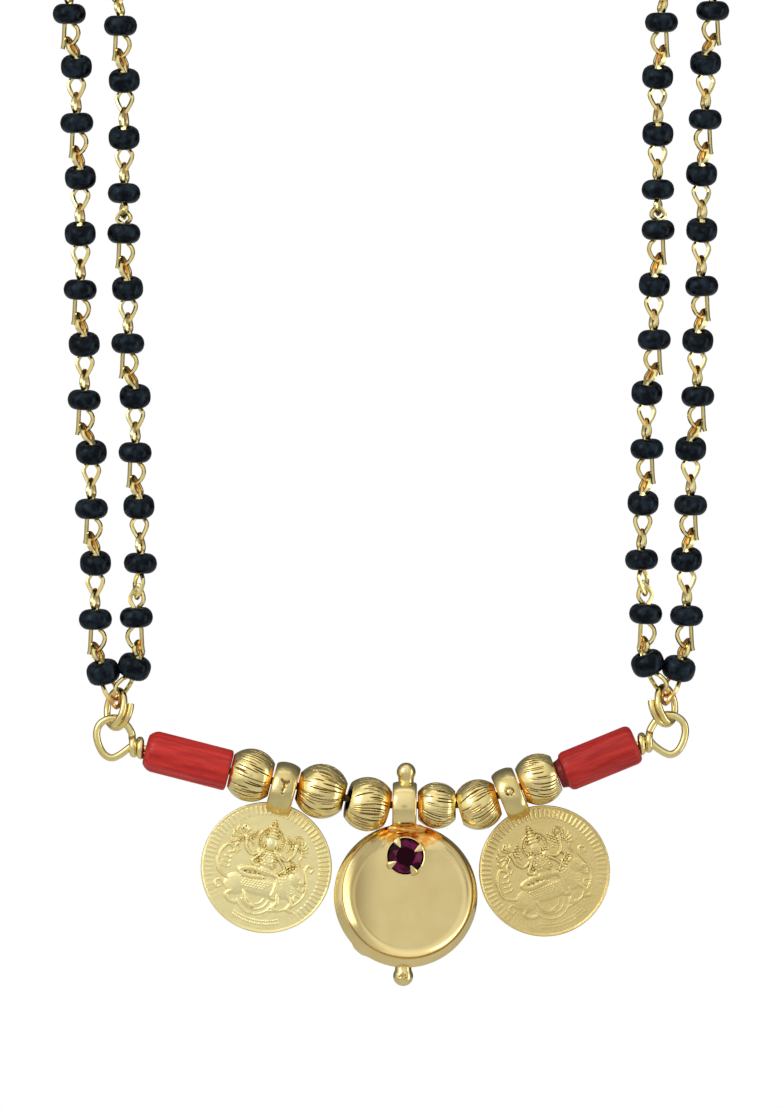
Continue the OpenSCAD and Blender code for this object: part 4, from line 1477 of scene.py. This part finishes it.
def cup_tones(points):
    """Painted shade in the line along the wall's top and at its foot, and painted warm reflection where the
    bail was soldered on.
    """
    x, y, z = points.T
    from_middle = np.hypot(x - RIM_SHIFT[0], z - RIM_SHIFT[1])
    # The painted shade line is fainter to the left and below, and stronger to the right and above
    strength = 0.6 + (0.2 * x + 0.14 * z) / CUP_RADIUS
    line = clamp(1.3 - np.abs(from_middle - DISH_WALL[0][0]) / PAINTED_SHADE_LINE) * (y < -0.6)
    foot_shade = PAINTED_FOOT_SHADE * np.exp(-(((x - FOOT_SHADE_X) / FOOT_SHADE_WIDE) ** 2)) * (from_middle < 5.9) * (z < 4)
    # Painted warm reflection, mottled, where the bail meets the rim
    seam = 1.7 - ((x - SEAM_X) / SEAM_WIDE) ** 2 - ((z - SEAM_Z) / SEAM_HIGH) ** 2
    mottle = 0.75 + 0.55 * np.sin(7.1 * x + 2 * np.sin(4.3 * z)) * np.sin(8.3 * z + 1.7 * x)
    warm = SEAM_PAINTED_WARMTH * clamp(seam) * (y < 0.4) * mottle
    return np.where(warm > 0.1, -warm, np.maximum(strength * line, foot_shade))


def cup_bowl():
    bowl = circles(cup_rows(), CUP_STEPS)
    points = cup_bent(bowl.points.copy())
    return Shape(points, bowl.faces, cut=cup_tones(points))


print("circles in the cup:", len(cup_rows()))

# %% [markdown]
# The bail's foot and the two balls are soldered on. The run of solder under the bail isn't flat:
# it is a long bead with waves in it, painted warm as painted reflection. The lower ball has a few punch
# marks.


# %% Balls, bail and solder
# The neck's flare: share of its radius, and how far up it, in radii of the ball
BALL_NECK, BALL_NECK_END = [(0.94, 0.98), (0.96, 1.12), (1.08, 1.3)], 1.3
# How high the solder's waves are, and how warm it is painted, as painted reflection
RUN_WAVES, RUN_PAINTED_WARMTH = 0.14, 0.42


def ball(radius, neck, reach, marks=()):
    """A ball at the origin on a neck that points up, about Z."""
    start = math.asin(neck / radius)
    bend = np.linspace(math.pi - 0.05, start, 22)
    outline = [(radius * math.sin(b), radius * math.cos(b)) for b in bend]
    flare = [(neck * wide, radius * up) for wide, up in BALL_NECK] + [(neck * BALL_NECK_END, reach)]
    shape = turned(outline + flare, 60, punched(marks, radius, 0.3, BALL_DENT), hollow=False)
    return shape.placed(spun(-90, "Y"))


def solder_run():
    """The lumpy run of solder that joins the bail's foot to the rim, about X."""
    outline = [(math.sin(t), -RUN_LONG * math.cos(t)) for t in np.linspace(0.03, math.pi - 0.03, 40)]

    def lumpy(angle, along, radius_here):
        lump = np.sin(4.3 * along + 1.5 * np.sin(angle * 3)) * np.sin(5 * angle + 2.1 * along)
        # The cut is painted warm reflection, varying with the waves
        return RUN_WAVES * lump * radius_here, -RUN_PAINTED_WARMTH - RUN_WAVES * lump

    run = turned(outline, 72, lumpy, hollow=False)
    return run.placed(at(*RUN_AT) @ Matrix.Diagonal((1, *RUN_THICK, 1)))


# Angle, place along and size of the lower ball's punch marks
BALL_MARKS = [(math.pi + 0.18 * k, 0.3 - 0.16 * abs(k), 0.1) for k in (-2, -1, 0, 1)]
BALL_MARKS += [(math.pi - 0.05, 0.02, 0.1), (math.pi + 0.25, -0.12, 0.09)]
# The run of solder: its middle, half length and half thicknesses
RUN_AT, RUN_LONG, RUN_THICK = (0.25, -0.95, -2.35), 1.95, (0.42, 0.55)
# Width, diameter, hole, doming and punch marks
CUP_BAIL, CUP_BAIL_DOWN = (2.42, 5.0, 0.52, 0.2, []), 0.1
# Radius, and the neck's radius and reach
TOP_BALL, LOW_BALL = (0.95, 0.8, 1.45), (1.0, 0.84, 1.6)
cup_shapes = [
    cup_bowl().placed(at(CUP_SHIFT, -CUP_FORWARD, -CUP_HANG)),
    bail(*CUP_BAIL).placed(at(0, 0, -CUP_BAIL_DOWN)),
    ball(*TOP_BALL).placed(at(BALL_SHIFT, 0, TOP_BALL_UP) @ spun(180, "X")),
    ball(*LOW_BALL, BALL_MARKS).placed(at(BALL_SHIFT, 0, -LOW_BALL_DOWN)), solder_run()]
print("cup shapes:", len(cup_shapes))

# %% [markdown]
# The stone sits in a cone, and four claws are bent over it. Each claw is a strip that narrows to
# a point. Cup, bail, balls and setting are soldered together, so they are one piece.

# %% The setting
CLAW_TURN = 30
# Radius and depth of the cone's circles, the claw's course as far out and depth, and its half widths
CONE = [(1.2, 0.2), (1.6, -0.3), (1.8, -0.7), (1.91, -1.1), (1.93, -1.35), (1.84, -1.42), (1.78, -1.3),
        (1.6, -1.0), (0.9, -0.2)]
CLAW = [(1.98, -0.3), (2.02, -0.9), (2.0, -1.45), (1.88, -1.85), (1.62, -2.02), (1.32, -2.12),
        (1.04, -2.22)]
CLAW_WIDTHS, CLAW_FLAT = [0.36, 0.38, 0.42, 0.4, 0.3, 0.18, 0.05], 0.42
CLAWS = 4


def setting():
    """The cone and its claws, about Y, with the front at -Y."""
    path = smooth([(out, y, 0) for out, y in CLAW], 4)
    spread = np.interp(np.linspace(0, 1, len(path)), np.linspace(0, 1, len(CLAW_WIDTHS)), CLAW_WIDTHS)
    claw = wire(path, spread, 10, flat=CLAW_FLAT, first=(0, 0, 1))
    claws = [claw.placed(spun(-(CLAW_TURN + 360 // CLAWS * k), "Y")) for k in range(CLAWS)]
    return [circles([(r, y, 0, 0) for r, y in CONE], 64)] + claws


stone_place = on_bar(CUP_X) @ at(STONE_SHIFT, -CUP_FORWARD, -STONE_HANG)
cup_shapes = [s.placed(on_bar(CUP_X)) for s in cup_shapes] + [s.placed(stone_place) for s in setting()]
make_piece("cup_drop", {polished_gold: cup_shapes}, "cup_drop", ["cup_pendant"], sharp=50)

# %% [markdown]
# The stone is cut with a flat table, a ring of facets that slope to its edge, and a point below.
# Every facet gets a tone of its own, painted light and shade that stand in for the light and dark
# facets that a cut stone shows side by side. A stone has sharp edges, so nothing on it is shaded smooth.

# %% The stone
STONE_RADIUS, TABLE_RADIUS, STAR_RADIUS = 1.7, 0.98, 1.4
# Depth of the girdle, and from there how far up the table and the star's points lie, how far up
# and down the girdle's own edges, and how far down the point
GIRDLE, CROWN, STAR, EDGE_UP, EDGE_DOWN, PAVILION = -1.5, 0.6, 0.34, 0.05, 0.02, 1.2
TABLE_TONE, TONE_BIAS = 0.04, 1.5


def stone():
    """Facets of a round stone about Y, and a tone for each."""
    def spot(radius, y, eighths):
        a = TURN * eighths / 8
        return (radius * math.cos(a), y, radius * math.sin(a))

    table = [spot(TABLE_RADIUS, GIRDLE - CROWN, k) for k in range(8)]
    crown = [spot(STAR_RADIUS, GIRDLE - STAR, k + 0.5) for k in range(8)]
    girdle = [spot(STONE_RADIUS, GIRDLE - EDGE_UP, k / 2) for k in range(16)]
    under = [spot(STONE_RADIUS, GIRDLE + EDGE_DOWN, k / 2) for k in range(16)]
    points = table + crown + girdle + under + [(0, GIRDLE + PAVILION, 0)]
    faces = [list(range(8))]
    for k in range(8):
        after = (k + 1) % 8
        faces += [[k, after, 8 + k], [k, 8 + k, 16 + 2 * k, 8 + (k - 1) % 8],
                  [8 + k, 16 + 2 * k, 16 + 2 * k + 1], [8 + k, 16 + 2 * k + 1, 16 + (2 * k + 2) % 16]]
    for k in range(16):
        after = (k + 1) % 16
        faces += [[16 + k, 32 + k, 32 + after, 16 + after], [32 + k, 48, 32 + after]]
    # A tone of painted light and shade for each facet, with the table dark
    tones = rng.uniform(0, 1, len(faces)) ** TONE_BIAS
    tones[0] = TABLE_TONE
    return Shape(points, faces), tones


gem, gem_tones = stone()
gem_groups = {red_stone: [gem.placed(stone_place)]}
make_piece("cut_stone", gem_groups, "cup_drop", ["stone"], sharp=1, tones=gem_tones)

# %% [markdown]
# ## The closing at the nape
#
# The photograph doesn't show the closing. It is a plain barrel that screws apart, with a loop at
# each end, and a ring each side that takes two strings.

# %% Make the clasp and its rings
CLASP_HALF, CLASP_RADIUS, CLASP_EDGE = 4.5, 2.2, 0.8
END_RING_X, END_RING_RADIUS = 6.9, 1.6
CLASP_LOOP_X, CLASP_LOOP_RADIUS, CLASP_LOOP_WIRE = 5.2, 1.1, 0.4
CLASP_TIP = 0.3
HOOP_STEPS = 48
# The line where the barrel parts: half its width, inside and outside, and its depth
PARTING_IN, PARTING_OUT, PARTING_DEEP = 0.05, 0.12, 0.1


def hoop(radius, thick):
    """A ring of wire about Z."""
    a = TURN * np.arange(HOOP_STEPS) / HOOP_STEPS
    path = np.stack([radius * np.cos(a), radius * np.sin(a), 0 * a], -1)
    return wire(path, thick, 12, closed=True, first=(0, 0, 1))


def barrel():
    """The clasp's barrel about X, with rounded ends and a fine line where its halves meet."""
    half = [(CLASP_RADIUS - PARTING_DEEP, PARTING_IN), (CLASP_RADIUS, PARTING_OUT)]
    half += [(CLASP_RADIUS - CLASP_EDGE * (1 - math.cos(b)), CLASP_HALF - CLASP_EDGE * (1 - math.sin(b)))
             for b in np.linspace(0, math.pi / 2, 8)]
    half.append((CLASP_TIP, CLASP_HALF))
    return turned([(r, -x) for r, x in reversed(half)] + half, 64, hollow=False)


clasp_loop = hoop(CLASP_LOOP_RADIUS, CLASP_LOOP_WIRE)
loops = [clasp_loop.placed(at(side * CLASP_LOOP_X, 0, 0) @ spun(90, "X")) for side in SIDES.values()]
make_piece("screw_clasp", {polished_gold: [barrel()] + loops}, "necklace", ["clasp"])
for name, side in SIDES.items():
    shape = hoop(END_RING_RADIUS, RING_WIRE).placed(at(side * END_RING_X, 0, 0))
    make_piece(f"closing_ring_{name}", {wire_gold: [shape]}, "necklace", [f"end_ring_{name}"])

# %% [markdown]
# ## Studio
#
# Gold shows its surroundings, so most of the light is a world with a shape: a bright ring round
# the camera as from a white tent, a small dark hole for the camera itself, and dark behind the
# piece, which draws a dark line along every edge. It is a little brighter above, and darker on
# the right. The camera itself sees plain white, as the picture's ground is.

# %% World
# How bright it is from straight behind, at 0, to the camera, at 1
TENT = [(0.0, 0.14), (0.2, 0.16), (0.34, 0.26), (0.48, 0.5), (0.6, 0.8), (0.76, 1.0), (0.9, 0.93),
        (0.97, 0.85), (0.996, 0.78), (1.0, 0.25)]
# How much darker it is straight to the right than to the left, and how bright below and above
SHADE_RIGHT, SHADE_BELOW, SHADE_ABOVE = 0.5, 0.98, 1.03
SMOOTH_STEP = {"interpolation_type": "SMOOTHSTEP"}

scene.view_settings.view_transform = "Standard"
world = bpy.data.worlds.new("studio")
world.use_nodes = True
scene.world = world
studio = Recipe(world.node_tree)
way = studio.add("TexCoord", out="Generated")
across, depth, height = (studio.add("SeparateXYZ", {}, {0: way}, out=k) for k in range(3))
above = studio.add("MapRange", SMOOTH_STEP, {0: height, 1: -0.8, 2: 0.8, 3: SHADE_BELOW, 4: SHADE_ABOVE})
shaded = studio.add("MapRange", SMOOTH_STEP, {0: across, 1: 0.1, 2: 1.0, 3: 1.0, 4: SHADE_RIGHT})
toward = studio.add("MapRange", {}, {0: depth, 1: 1.0, 2: -1.0})
tent = studio.add("ValToRGB", {"stops": [(place, (v, v, v, 1)) for place, v in TENT]}, {0: toward})
pale = studio.tree.nodes["Background"]
studio.feed(pale.inputs["Color"], tent)
studio.feed(pale.inputs["Strength"], above * shaded)
white = studio.add("Background", {}, {"Color": (1, 1, 1, 1), "Strength": 1.0})
seen = studio.add("LightPath", out="Is Camera Ray")
both = studio.add("MixShader", {}, {0: seen, 1: Value(studio, pale.outputs[0]), 2: white})
studio.feed(studio.tree.nodes["World Output"].inputs["Surface"], both)
print("world is ready")

# %% [markdown]
# Three soft panels add the highlights: a strong one on the left, a tall one on the right, and a
# weak one above. All of them point at the middle of the front.


# %% Panels
def panel(name, place, aim, size, power):
    """A soft light, wide and high, that reflections show but the camera doesn't."""
    light = bpy.data.lights.new(name, "AREA")
    light.shape = "RECTANGLE"
    light.size, light.size_y = size[0] * MM, size[1] * MM
    light.energy = power
    lamp = bpy.data.objects.new(name, light)
    lamp.location = Vector(place) * MM
    lamp.rotation_euler = (Vector(aim) - Vector(place)).to_track_quat("-Z", "Y").to_euler()
    lamp.visible_camera = False
    scene.collection.objects.link(lamp)


# Place, size and power of each panel
PANELS = {"left": ((-420, FRONT - 420, 120), (260, 420), 0.9),
          "right": ((570, FRONT - 190, -230), (170, 640), 0.75),
          "top": ((0, FRONT - 60, 330), (420, 120), 0.08)}
LIGHT_AIM = (0, FRONT, -170)
for name, (place, size, power) in PANELS.items():
    panel(f"panel_{name}", place, LIGHT_AIM, size, power)
print("panels:", len(PANELS))

# %% [markdown]
# A pale floor lies far below, outside the picture, and gives some light from beneath. It is no
# part of the necklace.

# %% Floor
GROUND_Z, GROUND_RADIUS, GROUND_STEPS = -750, 3000, 96
floor_finish = Finish("pale_floor", Roughness=0.8, Emission_Color=(1, 1, 1, 1), Emission_Strength=0.05)
floor_finish.set("Base Color", (0.86, 0.86, 0.85, 1))
around = TURN * np.arange(GROUND_STEPS) / GROUND_STEPS
floor_points = np.stack([np.cos(around), np.sin(around), 0 * around], -1) * GROUND_RADIUS + (0, 0, GROUND_Z)
floor_mesh = bpy.data.meshes.new("floor")
floor_mesh.from_pydata(floor_points * MM, [], [list(range(GROUND_STEPS))])
floor_mesh.materials.append(floor_finish.material)
floor = bpy.data.objects.new("floor", floor_mesh)
scene.collection.objects.link(floor)
print("floor lies at", GROUND_Z, "mm")

# %% [markdown]
